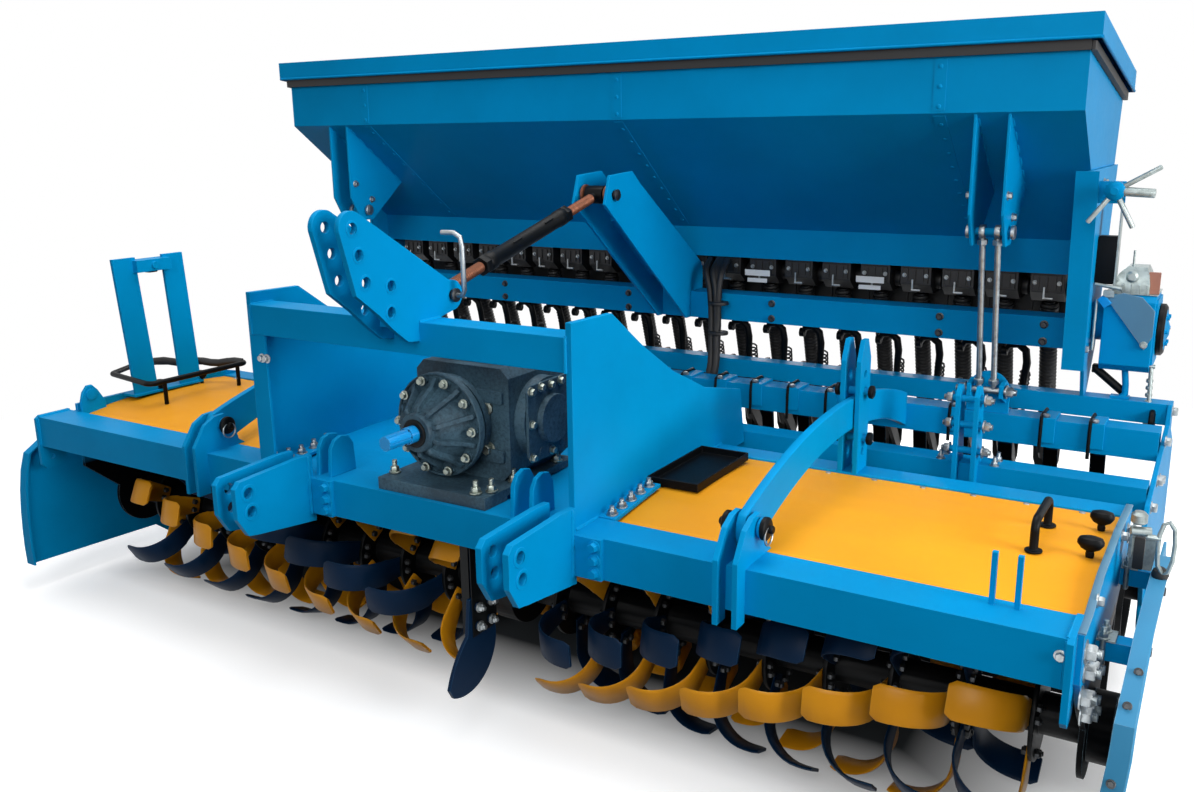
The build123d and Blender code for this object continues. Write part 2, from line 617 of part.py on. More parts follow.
# ---- roller -------------------------------------------------------------
def packer_roller():
    """Tube drum with spoked end discs, toothed rings and end stubs."""
    s, h = ROLLER_STATION, ROLLER_R - BEAM_TOP_Z
    drum = across(0, 2 * ROLLER_HALF, s, h, ROLLER_CORE)
    drum -= across(0, 2 * ROLLER_HALF + 2, s, h, ROLLER_CORE - ROLLER_SHELL)
    disc = across(ROLLER_HALF - 40, 12, s, h, ROLLER_CORE - ROLLER_SHELL + 1)
    for i in range(4):
        a = radians(45 + 90 * i)
        disc -= across(ROLLER_HALF - 40, 30, s + 95 * cos(a), h + 95 * sin(a), 36)
    drum += disc + mirrored(disc)
    step = 360 / ROLLER_TEETH
    points = []
    for i in range(ROLLER_TEETH):
        for da, r in ((0, ROLLER_CORE - 3), (step * 0.30, ROLLER_R), (step * 0.52, ROLLER_R)):
            a = radians(i * step + da)
            points.append((r * cos(a), r * sin(a)))
    ring = extrude(Plane.YZ * Polygon(*points, align=None), amount=RING_THICK / 2, both=True)
    count = int((2 * ROLLER_HALF - 60) // RING_PITCH) + 1
    for i in range(count):
        x = (i - (count - 1) / 2) * RING_PITCH
        drum += Pos(x, Y(s), Z(h)) * Rot((i % 2) * step / 2, 0, 0) * ring
    stub = across((ROLLER_HALF + ROLLER_END_X) / 2 - 9, ROLLER_END_X - ROLLER_HALF + 62, s, h, AXLE_R)
    return drum + stub + mirrored(stub)


def roller_end():
    """Right end plate of the roller frame."""
    x_mid = ROLLER_END_X + ROLLER_END_THICK / 2
    h = ROLLER_R - BEAM_TOP_Z
    s = ROLLER_STATION
    plate = side_plate(x_mid, ROLLER_END_THICK, [
        (885, -96), (922, -35), (1385, 56), (TUBE_C_STATION, TUBE_C_TOP), (TUBE_C_STATION + TUBE_C, TUBE_C_TOP),
        (1480, 26), (1653, -54), (1704, -337), (1640, -392), (s + 110, h), (s - 110, h)])
    plate += across(x_mid, ROLLER_END_THICK, s, h, 110)
    plate += across(x_mid + 14, 34, s, h, 60)
    return plate - across(x_mid, 200, s, h, AXLE_R + SEAT)


def roller_tubes():
    inner = ROLLER_END_X
    return square_tube(-inner, inner, TUBE_A_STATION, TUBE, TUBE_A_TOP, TUBE, TUBE_WALL) + roller_clamps()


def scrapers():
    """One flat scraper for each gap between rings, most on a strap over the middle tube."""
    count = int((2 * ROLLER_HALF - 60) // RING_PITCH)
    s0, s1 = TUBE_B_STATION, TUBE_B_STATION + TUBE
    top = TUBE_B_TOP
    blade_line = [(s1 + 30, -80), (s1 + 45, -262), (s1 + 37, -262), (s1 + 22, -80), (s1, top - 60)]
    strap_line = [(s0 - SEAT - 6, 14), (s0 - SEAT - 6, top + SEAT + 6), (s1 + SEAT + 6, top + SEAT + 6)]
    under = [(s1 + SEAT, top - 60), (s1 + SEAT, top + SEAT), (s0 - SEAT, top + SEAT), (s0 - SEAT, 14)]
    crowded = [-LINK_X, LINK_X] + list(ARM_X.values())
    out = []
    for i in range(count):
        x = (i - (count - 1) / 2) * RING_PITCH
        if min(abs(x - place) for place in crowded) < 80:
            out.append(side_plate(x, 40, [(s1, top - 8), (s1 + 8, top - 8)] + blade_line))
        else:
            out.append(side_plate(x, 40, strap_line + blade_line[:-1] + under))
    return Compound(children=out)


def roller_clamps():
    """Pairs of bolted plates that stand on the front tube of the roller frame."""
    pairs = None
    for side in (-1, 1):
        for off in (-24, 24):
            plate = side_plate(side * (LINK_X + 10) + off, 12, [
                (TUBE_A_STATION - 34, -62), (TUBE_A_STATION, -62), (TUBE_A_STATION, TUBE_A_TOP),
                (TUBE_A_STATION + 46, TUBE_A_TOP), (TUBE_A_STATION + 20, 190), (TUBE_A_STATION, 216),
                (TUBE_A_STATION - 20, 216), (TUBE_A_STATION - 34, 190)])
            pairs = plate if pairs is None else pairs + plate
        for h in (180, 110, 40):
            pairs += across(side * (LINK_X + 10), 84, TUBE_A_STATION - 12, h, 9)
    return pairs


# ---- hopper and lid -----------------------------------------------------
def lid_low(s):
    """Height of the lid's lower edge at a station."""
    return LID_FRONT_LOW + (LID_REAR_LOW - LID_FRONT_LOW) * (s - LID_FRONT) / LID_DEEP


def rim(s):
    """Height of the hopper's rim, a gap below the lid's sheet."""
    return lid_low(s) + LID_LIP - LID_SHEET - LID_GAP


def hopper():
    """Open-topped seed box with walls as thick as the real sheet."""
    w = HOPPER_WALL
    outer = [(HOPPER_FRONT, rim(HOPPER_FRONT)), (HOPPER_FRONT, HOPPER_BAND),
             (HOPPER_NECK_FRONT, HOPPER_NECK_TOP), (HOPPER_NECK_FRONT, HOPPER_FLOOR),
             (HOPPER_NECK_REAR, HOPPER_FLOOR), (HOPPER_NECK_REAR, HOPPER_NECK_TOP),
             (HOPPER_REAR, HOPPER_BAND + 30), (HOPPER_REAR, rim(HOPPER_REAR))]
    inner = [(HOPPER_FRONT + w, rim(HOPPER_FRONT) + 60), (HOPPER_FRONT + w, HOPPER_BAND + w / 2),
             (HOPPER_NECK_FRONT + w, HOPPER_NECK_TOP + w / 2), (HOPPER_NECK_FRONT + w, HOPPER_FLOOR + w),
             (HOPPER_NECK_REAR - w, HOPPER_FLOOR + w), (HOPPER_NECK_REAR - w, HOPPER_NECK_TOP),
             (HOPPER_REAR - w, HOPPER_BAND + 30), (HOPPER_REAR - w, rim(HOPPER_FRONT) + 60)]
    box = side_plate(0, 2 * HOPPER_HALF, outer) - side_plate(0, 2 * (HOPPER_HALF - w), inner)
    for x in HINGE_X:
        for off in (-26, 26):
            ear = side_plate(x + off, 8, [(HOPPER_REAR - 1, HOPPER_BAND + 8), (HINGE_STATION - 6, HINGE_HEIGHT - 46),
                                          (HINGE_STATION + 12, HINGE_HEIGHT - 16),
                                          (HINGE_STATION + 12, HINGE_HEIGHT + 8),
                                          (HINGE_STATION + 6, HINGE_HEIGHT + 12),
                                          (HINGE_STATION - 5, HINGE_HEIGHT + 12),
                                          (HINGE_STATION - 11, HINGE_HEIGHT + 4),
                                          (HINGE_STATION - 13, HINGE_HEIGHT - 43),
                                          (HOPPER_REAR - 1, HINGE_HEIGHT - 45)],
                             [(HINGE_STATION, HINGE_HEIGHT, HINGE_BORE)])
            box += ear
    return box


def hopper_lid():
    """Shallow tray with a lip all round, a crown fold and hinge tabs with their pins."""
    s0, s1 = LID_FRONT, LID_FRONT + LID_DEEP
    outer = [(s0, lid_low(s0)), (s1, lid_low(s1)), (s1, lid_low(s1) + LID_LIP), (s0, lid_low(s0) + LID_LIP)]
    t = LID_SHEET
    inner = [(s0 + t, lid_low(s0) - 5), (s1 - t, lid_low(s1) - 5), (s1 - t, lid_low(s1 - t) + LID_LIP - t),
             (s0 + t, lid_low(s0 + t) + LID_LIP - t)]
    lid = side_plate(0, 2 * LID_HALF, outer) - side_plate(0, 2 * (LID_HALF - t), inner)
    for x in HINGE_X:
        tab = side_plate(x, 30, [(s1, lid_low(s1) + 12), (HINGE_STATION, HINGE_HEIGHT - 9),
                                 (HINGE_STATION + 9, HINGE_HEIGHT), (HINGE_STATION, HINGE_HEIGHT + 9),
                                 (s1, lid_low(s1) + 50)])
        lid += tab + across(x, 72, HINGE_STATION, HINGE_HEIGHT, HINGE_PIN_R)
    return lid


def slope_height(s):
    """Height of the hopper's sloping front panel at a station."""
    run = (s - HOPPER_FRONT) / (HOPPER_NECK_FRONT - HOPPER_FRONT)
    return HOPPER_BAND + (HOPPER_NECK_TOP - HOPPER_BAND) * run


def hopper_brackets(x_mid):
    outline = [(1016, slope_height(1016)), (1016, 650), (1062, 566), (1122, 566),
               (1290, slope_height(1290))]
    pair = side_plate(x_mid - 42, 8, outline) + side_plate(x_mid + 42, 8, outline)
    return pair + across(x_mid, 110, LINK_TOP[0], LINK_TOP[1], LINK_PIN_R)


def link_rods(x_mid):
    (s0, h0), (s1, h1) = LINK_TOP, LINK_LOW
    length = hypot(s1 - s0, h1 - h0)
    drop = 14 / length
    rods = across(x_mid, 112, s1, h1, LINK_PIN_R)
    for off in (-20, 20):
        rods += bar_between((x_mid + off, s0 + (s1 - s0) * drop, h0 + (h1 - h0) * drop),
                            (x_mid + off, s1, h1), 8)
        rods += across(x_mid + off, 14, s0, h0, 19) - across(x_mid + off, 30, s0, h0, LINK_PIN_R + SEAT)
    return rods


def link_seat(x_mid):
    """Rounded tongue on the middle tube that takes the lower pin of the link rods."""
    s0 = TUBE_B_STATION + 14
    tongue = block(x_mid - 58, x_mid + 58, s0, s0 + 12, TUBE_B_TOP, 140)
    tongue += Pos(x_mid, Y(s0 + 6), Z(140)) * Rot(90, 0, 0) * Cylinder(58, 12)
    for off in (-44, 44):
        tongue += side_plate(x_mid + off, 12, [(s0, 110), (s0, 178), (LINK_LOW[0] - 18, 168),
                                               (LINK_LOW[0] - 18, 132)],
                             [(LINK_LOW[0], LINK_LOW[1], LINK_PIN_R + SEAT)])
    return tongue


def drill_side(side):
    """Side frame of the drill; the right one reaches forward to a front flange."""
    x_mid = DRILL_SIDE_X + DRILL_SIDE_THICK / 2
    c_end = TUBE_C_STATION + TUBE_C
    back = [(TUBE_C_STATION, TUBE_C_TOP), (c_end, TUBE_C_TOP), (1560, 230), (1620, 480), (1690, 760)]
    if side < 0:
        return side_plate(-x_mid, DRILL_SIDE_THICK, [(TUBE_C_STATION - 20, 760)] + back)
    plate = side_plate(x_mid, DRILL_SIDE_THICK, [(1130, 760), (1180, 230), (1350, 222)] + back)
    return plate + side_plate(DRILL_SIDE_X + 2, 56, [(1130, 760), (1138, 760), (1188, 230), (1180, 230)])


def main_bar():
    return square_tube(-DRILL_SIDE_X, DRILL_SIDE_X, BAR_STATION, BAR_SIZE, BAR_TOP, BAR_SIZE, BAR_WALL)


def row_places():
    return [(i - (ROWS - 1) / 2) * ROW_PITCH for i in range(ROWS)]


def metering_units():
    """One dark metering body per row under the hopper, on a common drive shaft."""
    units = across(0, ROW_PITCH * (ROWS - 1) + 160, ROW_SHAFT, 400, 10)
    for x in row_places():
        units += side_plate(x, 96, [(1492, HOPPER_FLOOR), (1628, HOPPER_FLOOR), (1628, 400), (1600, 362),
                                    (1530, 362), (1492, 392)])
    return units


def seed_tubes():
    tubes = [bar_between((x, 1565, 357), (x, 1700, -60), 15) for x in row_places()]
    return Compound(children=tubes)


def coulters():
    """Shoe openers on their arms, hung from the rear tube."""
    s0 = TUBE_C_STATION + TUBE_C
    out = []
    for x in row_places():
        arm = side_plate(x + 30, 12, [(s0, TUBE_C_TOP - 2), (s0 + 30, TUBE_C_TOP - 2), (1760, -200),
                                      (1790, -330), (1740, -330), (1712, -210), (s0, 62)])
        shoe = side_plate(x + 18, 12, [(1690, -65), (1740, -65), (1800, -330), (1810, -500),
                                       (1730, -592), (1690, -560), (1716, -420)])
        out.append(arm + shoe)
    return Compound(children=out)


def drive_case():
    """Drive housing outside the right drill side, on a short round neck."""
    x0 = DRILL_SIDE_X + DRILL_SIDE_THICK
    box = side_plate(x0 + 96, 130, [(1400, 394), (1420, 411), (1560, 411), (1580, 384), (1560, 206), (1545, 193),
                                    (1420, 193), (1400, 212)])
    box += side_plate(x0 + 164, 6, [(1412, 390), (1426, 400), (1552, 400), (1568, 378), (1550, 212), (1424, 206),
                                    (1412, 218)])
    return box + across(x0 + 16, 32, 1490, 320, 55)


def rate_handle():
    """Star handle that sets the seed rate, on a bracket outside the drill side."""
    x0 = DRILL_SIDE_X + DRILL_SIDE_THICK
    x, s, h, reach = x0 + 65, 1100.0, 698.0, 118.0
    bracket = block(x0, x + 16, s + 66, s + 78, h - 20, h + 20)
    hub = along(x, s - 18, s + 76, h, 11) + along(x, s - 26, s + 6, h, 22)
    for i in range(4):
        a = radians(45 * i + 22)
        hub += bar_between((x - reach * cos(a), s - 8, h - reach * sin(a)),
                           (x + reach * cos(a), s - 8, h + reach * sin(a)), 6)
    return bracket + hub


# ---- assembly -----------------------------------------------------------
def build():
    keep("front_beam", front_beam())
    keep("rear_beam", rear_beam())
    inner, outer = FRAME_X - FRAME_THICK / 2, FRAME_X + FRAME_THICK / 2
    keep("deck_left", deck(-END_X[-1], -outer))
    keep("deck_right", deck(outer, END_X[1]))
    slot = block(CASE_X - CASE_WIDE / 2 - 1, CASE_X + CASE_WIDE / 2 + 1,
                 AXLE_STATION - CASE_R - 1, AXLE_STATION + CASE_R + 1, -60, 60)
    keep("deck_centre", deck(-inner, inner) - slot)
    plate = centre_plate()
    keep("centre_plate_right", plate)
    flange = block(-inner, -inner + 42, 13, 21, 0, CROSS_TOP - CROSS_SIZE)
    keep("centre_plate_left", mirrored(plate) + flange)
    keep("top_crossbeam", top_crossbeam())
    keep("end_frame_right", end_frame(1))
    keep("end_frame_left", end_frame(-1))
    shield = side_shield()
    keep("side_shield_right", shield)
    keep("side_shield_left", mirrored(shield))
    board_mid, board_half = (END_X[1] - END_X[-1]) / 2, (END_X[1] + END_X[-1]) / 2 - 2
    keep("rear_board", extrude(Pos(board_mid, 0, 0) * rear_board(), amount=board_half, both=True))
    keep("gearbox_housing", gearbox_housing())
    keep("gearbox_bell", gearbox_bell())
    keep("pto_shaft", pto_shaft())
    keep("centre_case", centre_case())
    keep("plough_foot", plough_foot())
    keep("lower_hitch_left", lower_hitch(DRIVE_X - HITCH_SPAN / 2))
    keep("lower_hitch_right", lower_hitch(DRIVE_X + HITCH_SPAN / 2))
    keep("top_hitch", top_hitch())
    keep("top_link", top_link())
    keep("seeder_mast", seeder_mast())
    for name, side in (("left", -1), ("right", 1)):
        keep(f"roller_arm_{name}", roller_arm(ARM_X[side]))
        keep(f"arm_clevis_{name}", arm_clevis(ARM_X[side]))
        keep(f"depth_posts_{name}", depth_posts(ARM_X[side]))
        keep(f"hopper_brackets_{name}", hopper_brackets(side * LINK_X))
        keep(f"link_rods_{name}", link_rods(side * LINK_X))
        keep(f"rotor_{name}", rotor_half(side))
        keep(f"blades_gold_{name}", blade_set(side, -side))
        keep(f"blades_dark_{name}", blade_set(side, side))
    keep("portal_frame", portal_frame())
    keep("loop_rail", loop_rail())
    keep("deck_tray", deck_tray())
    keep("deck_handle", deck_handle())
    keep("packer_roller", packer_roller())
    roller_plate = roller_end()
    keep("roller_end_right", roller_plate)
    keep("roller_end_left", mirrored(roller_plate))
    keep("roller_tube_front", roller_tubes())
    middle = square_tube(-ROLLER_END_X, ROLLER_END_X, TUBE_B_STATION, TUBE, TUBE_B_TOP, TUBE, TUBE_WALL)
    keep("roller_tube_middle", middle + link_seat(-LINK_X) + link_seat(LINK_X))
    keep("roller_tube_rear", square_tube(-ROLLER_END_X, ROLLER_END_X, TUBE_C_STATION, TUBE_C,
                                         TUBE_C_TOP, TUBE_C, TUBE_WALL))
    keep("scrapers", scrapers())
    keep("hopper", hopper())
    keep("hopper_lid", hopper_lid())
    keep("drill_side_right", drill_side(1))
    keep("drill_side_left", drill_side(-1))
    keep("main_bar", main_bar())
    keep("metering_units", metering_units())
    keep("seed_tubes", seed_tubes())
    keep("coulters", coulters())
    keep("drive_case", drive_case())
    keep("rate_handle", rate_handle())


build()
for part_name, part_shape in PARTS.items():
    export_step(part_shape, f"parts/{part_name}.step")
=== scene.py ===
"""Looks of a rotary tiller with a mounted seed drill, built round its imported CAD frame.

Sizes in the sub-assemblies are millimetres.  A place is given as X, a station
behind the front face of the front beam and a height above that beam's top face,
the way the machine is set out on the bench; Datum turns it to a point in metres.
"""
from __future__ import annotations

import json
import logging
import math
import random
from dataclasses import dataclass, field
from enum import Enum
from typing import Callable, Sequence

import bmesh
import bpy
from mathutils import Matrix, Vector

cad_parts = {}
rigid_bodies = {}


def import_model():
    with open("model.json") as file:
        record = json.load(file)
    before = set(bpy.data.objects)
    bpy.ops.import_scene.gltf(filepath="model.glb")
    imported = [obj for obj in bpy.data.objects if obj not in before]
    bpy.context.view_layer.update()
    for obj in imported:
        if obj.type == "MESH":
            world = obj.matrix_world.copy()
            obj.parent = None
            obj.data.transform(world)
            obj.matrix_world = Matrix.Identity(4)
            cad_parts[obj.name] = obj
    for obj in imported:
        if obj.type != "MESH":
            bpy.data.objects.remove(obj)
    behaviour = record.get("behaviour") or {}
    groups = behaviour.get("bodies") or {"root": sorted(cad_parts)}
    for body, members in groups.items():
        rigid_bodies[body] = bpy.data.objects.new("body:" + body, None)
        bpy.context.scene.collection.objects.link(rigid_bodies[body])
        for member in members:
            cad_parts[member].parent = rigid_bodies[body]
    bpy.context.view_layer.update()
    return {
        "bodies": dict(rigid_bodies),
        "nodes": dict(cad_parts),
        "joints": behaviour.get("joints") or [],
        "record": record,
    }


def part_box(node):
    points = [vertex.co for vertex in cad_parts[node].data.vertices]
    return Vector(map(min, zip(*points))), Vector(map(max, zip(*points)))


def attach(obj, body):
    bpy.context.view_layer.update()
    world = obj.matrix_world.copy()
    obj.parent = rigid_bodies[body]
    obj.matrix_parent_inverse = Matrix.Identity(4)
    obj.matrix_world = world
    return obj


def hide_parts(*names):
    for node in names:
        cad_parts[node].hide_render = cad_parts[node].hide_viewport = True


LOG = logging.getLogger("seed_drill")
Point = Sequence[float]
RIGHT, UP = Vector((1, 0, 0)), Vector((0, 0, 1))
AHEAD = Vector((0, -1, 0))      # towards the tractor


# ---- colour and nodes ---------------------------------------------------
def linear(code: str) -> tuple[float, float, float, float]:
    """Turn an sRGB hex colour to the linear colour that shaders take.

    Args:
        code: Colour such as "#0E6FB0".

    Returns:
        Linear red, green, blue and an alpha of 1.
    """
    parts = [int(code[i:i + 2], 16) / 255 for i in (1, 3, 5)]
    red, green, blue = [c / 12.92 if c <= 0.04045 else ((c + 0.055) / 1.055) ** 2.4 for c in parts]
    return red, green, blue, 1.0


def add_node(tree: bpy.types.NodeTree, kind: str, values: dict | None = None,
             links: dict | None = None, **settings: object) -> bpy.types.Node:
    """Add one node with its settings, socket values and links.

    Args:
        tree: Node tree that gets the node.
        kind: Blender's name for the node type, without its "ShaderNode".
        values: Socket name or index to a constant.
        links: Socket name or index to the output that feeds it, or to a node whose main output does.
        **settings: Properties of the node itself.

    Returns:
        The new node.
    """
    node = tree.nodes.new("ShaderNode" + kind)
    for name, value in settings.items():
        setattr(node, name, value)
    for socket, value in (values or {}).items():
        node.inputs[socket].default_value = value
    for socket, source in (links or {}).items():
        if isinstance(source, bpy.types.Node):
            source = source.outputs["Result" if source.type == "MIX" else 0]
        tree.links.new(source, node.inputs[socket])
    return node


def new_material(name: str) -> tuple[bpy.types.Material, bpy.types.NodeTree]:
    """Start a material with an empty node tree.

    Args:
        name: The finish's real name.

    Returns:
        The material and its node tree.
    """
    material = bpy.data.materials.new(name)
    material.use_nodes = True
    material.node_tree.nodes.clear()
    return material, material.node_tree


def per_metre(size_mm: float) -> float:
    """Give the scale of a pattern whose cells are that many millimetres wide."""
    return 1000.0 / size_mm


# ---- finishes -----------------------------------------------------------
@dataclass(frozen=True)
class Enamel:
    """Sprayed machinery enamel on steel.

    It gives the eye an even gloss broken by fine orange peel, a slow drift of
    tone over large faces, a paler line along worn edges and a film of dust on
    what faces up.
    """

    name: str
    colour: str
    shade: str
    worn: str
    dust: str = "#8C8F88"
    roughness: float = 0.40
    coat: float = 0.08
    shine: float = 0.32
    peel_mm: float = 5.0        # real orange peel is 1-2 mm; drawn coarser so that it shows
    scuff_mm: float = 26.0
    patch_mm: float = 420.0
    edge_mm: float = 3.0
    wear: float = 0.55
    dusting: float = 0.06
    specks: float = 0.07
    black_below: float = 0.0            # metres above the floor below which the piece is black, or 0
    black_below_colour: str = "#08090B"

    def build(self) -> bpy.types.Material:
        """Build the material.

        Returns:
            The finished material.
        """
        material, tree = new_material(self.name)
        spot = add_node(tree, "TexCoord").outputs["Object"]
        patch = add_node(tree, "TexNoise",
                         {"Scale": per_metre(self.patch_mm), "Detail": 5.0, "Roughness": 0.6},
                         {"Vector": spot})
        drift = add_node(tree, "MapRange", {"From Min": 0.35, "From Max": 0.7}, {"Value": patch})
        tone = add_node(tree, "Mix", {"A": linear(self.colour), "B": linear(self.shade)},
                        {"Factor": drift}, data_type="RGBA")
        # scuffs: short streaks rubbed into the film
        scuff = add_node(tree, "TexNoise", {"Scale": per_metre(self.scuff_mm), "Detail": 8.0,
                                            "Roughness": 0.75, "Distortion": 1.4}, {"Vector": spot})
        speck = add_node(tree, "MapRange", {"From Min": 0.66, "From Max": 0.74, "To Max": self.specks},
                         {"Value": scuff})
        if self.black_below:
            level = add_node(tree, "SeparateXYZ", None, {0: spot})
            below = add_node(tree, "MapRange",
                             {"From Min": self.black_below + 0.012, "From Max": self.black_below - 0.012},
                             {"Value": level.outputs["Z"]})
            tone = add_node(tree, "Mix", {"B": linear(self.black_below_colour)}, {"Factor": below, "A": tone},
                            data_type="RGBA")
        rubbed = add_node(tree, "Mix", {"B": linear(self.worn)}, {"Factor": speck, "A": tone},
                          data_type="RGBA")
        # edges: the rounded normal turns away from the true one only near an edge
        rounded = add_node(tree, "Bevel", {"Radius": self.edge_mm / 1000}, samples=4)
        face = add_node(tree, "NewGeometry")
        turn = add_node(tree, "VectorMath", None,
                        {0: rounded, 1: face.outputs["Normal"]}, operation="DOT_PRODUCT")
        near = add_node(tree, "MapRange", {"From Min": 0.99, "From Max": 0.78},
                        {"Value": turn.outputs["Value"]})
        ragged = add_node(tree, "MapRange", {"From Min": 0.34, "From Max": 0.62, "To Max": self.wear},
                          {"Value": scuff})
        edge = add_node(tree, "Math", None, {0: near, 1: ragged}, operation="MULTIPLY")
        chipped = add_node(tree, "Mix", {"B": linear(self.worn)},
                           {"Factor": edge, "A": rubbed}, data_type="RGBA")
        # dust settles on what faces up
        up = add_node(tree, "SeparateXYZ", None, {0: face.outputs["Normal"]})
        film = add_node(tree, "MapRange", {"From Min": 0.4, "From Max": 1.0, "To Max": self.dusting},
                        {"Value": up.outputs["Z"]})
        settled = add_node(tree, "Math", None, {0: film, 1: drift}, operation="MULTIPLY")
        dusty = add_node(tree, "Mix", {"B": linear(self.dust)},
                         {"Factor": settled, "A": chipped}, data_type="RGBA")
        gloss = add_node(tree, "MapRange",
                         {"To Min": self.roughness - 0.06, "To Max": self.roughness + 0.12}, {"Value": scuff})
        peel = add_node(tree, "TexNoise", {"Scale": per_metre(self.peel_mm), "Detail": 2.0}, {"Vector": spot})
        relief = add_node(tree, "Bump", {"Strength": 0.16, "Distance": 0.0006}, {"Height": peel})
        shader = add_node(tree, "BsdfPrincipled",
                          {"IOR": 1.5, "Coat Weight": self.coat, "Coat Roughness": 0.2,
                           "Specular IOR Level": self.shine},
                          {"Base Color": dusty, "Roughness": gloss, "Normal": relief})
        add_node(tree, "OutputMaterial", None, {"Surface": shader})
        return material


@dataclass(frozen=True)
class CastEnamel:
    """Grey enamel over sand-cast iron.

    It gives the eye a pebbled skin under a satin film, darker in the hollows.
    """

    name: str
    colour: str
    shade: str
    grit_mm: float = 9.0        # sand grain is under 1 mm; drawn coarser so that it shows
    stain_mm: float = 140.0
    roughness: float = 0.5
    bump: float = 0.35

    def build(self) -> bpy.types.Material:
        """Build the material.

        Returns:
            The finished material.
        """
        material, tree = new_material(self.name)
        spot = add_node(tree, "TexCoord").outputs["Object"]
        grit = add_node(tree, "TexNoise", {"Scale": per_metre(self.grit_mm), "Detail": 6.0, "Roughness": 0.7},
                        {"Vector": spot})
        stain = add_node(tree, "TexNoise", {"Scale": per_metre(self.stain_mm), "Detail": 4.0},
                         {"Vector": spot})
        both = add_node(tree, "Math", None, {0: grit, 1: stain}, operation="MULTIPLY")
        share = add_node(tree, "MapRange", {"From Min": 0.16, "From Max": 0.36}, {"Value": both})
        tone = add_node(tree, "Mix", {"A": linear(self.shade), "B": linear(self.colour)},
                        {"Factor": share}, data_type="RGBA")
        relief = add_node(tree, "Bump", {"Strength": self.bump, "Distance": 0.0012}, {"Height": grit})
        gloss = add_node(tree, "MapRange",
                         {"To Min": self.roughness - 0.1, "To Max": self.roughness + 0.16}, {"Value": stain})
        shader = add_node(tree, "BsdfPrincipled", {"IOR": 1.5, "Specular IOR Level": 0.22},
                          {"Base Color": tone, "Roughness": gloss, "Normal": relief})
        add_node(tree, "OutputMaterial", None, {"Surface": shader})
        return material


@dataclass(frozen=True)
class BareMetal:
    """Plated, galvanised or bright steel.

    It gives the eye a metal sheen with fine spangle or grime in it.
    """

    name: str
    colour: str
    grime: str
    metallic: float = 1.0
    roughness: float = 0.34
    spangle_mm: float = 7.0
    haze_mm: float = 18.0
    grime_share: float = 0.5

    def build(self) -> bpy.types.Material:
        """Build the material.

        Returns:
            The finished material.
        """
        material, tree = new_material(self.name)
        spot = add_node(tree, "TexCoord").outputs["Object"]
        spangle = add_node(tree, "TexVoronoi", {"Scale": per_metre(self.spangle_mm)}, {"Vector": spot})
        haze = add_node(tree, "TexNoise",
                        {"Scale": per_metre(self.haze_mm), "Detail": 6.0, "Roughness": 0.65},
                        {"Vector": spot})
        dirt = add_node(tree, "MapRange", {"From Min": 0.45, "From Max": 0.7, "To Max": self.grime_share},
                        {"Value": haze})
        tone = add_node(tree, "Mix", {"A": linear(self.colour), "B": linear(self.grime)},
                        {"Factor": dirt}, data_type="RGBA")
        gloss = add_node(tree, "MapRange",
                         {"To Min": self.roughness - 0.08, "To Max": self.roughness + 0.14},
                         {"Value": spangle.outputs["Color"]})
        shader = add_node(tree, "BsdfPrincipled", {"Metallic": self.metallic},
                          {"Base Color": tone, "Roughness": gloss})
        add_node(tree, "OutputMaterial", None, {"Surface": shader})
        return material


@dataclass(frozen=True)
class MouldedPlastic:
    """Moulded polymer with a fine spark-eroded grain.

    It gives the eye a soft, even black with a low broken sheen.
    """

    name: str
    colour: str
    roughness: float = 0.48
    grain_mm: float = 3.0

    def build(self) -> bpy.types.Material:
        """Build the material.

        Returns:
            The finished material.
        """
        material, tree = new_material(self.name)
        spot = add_node(tree, "TexCoord").outputs["Object"]
        grain = add_node(tree, "TexNoise", {"Scale": per_metre(self.grain_mm), "Detail": 3.0},
                         {"Vector": spot})
        relief = add_node(tree, "Bump", {"Strength": 0.2, "Distance": 0.0004}, {"Height": grain})
        gloss = add_node(tree, "MapRange",
                         {"To Min": self.roughness - 0.08, "To Max": self.roughness + 0.1}, {"Value": grain})
        shader = add_node(tree, "BsdfPrincipled", {"IOR": 1.49, "Base Color": linear(self.colour)},
                          {"Roughness": gloss, "Normal": relief})
        add_node(tree, "OutputMaterial", None, {"Surface": shader})
        return material


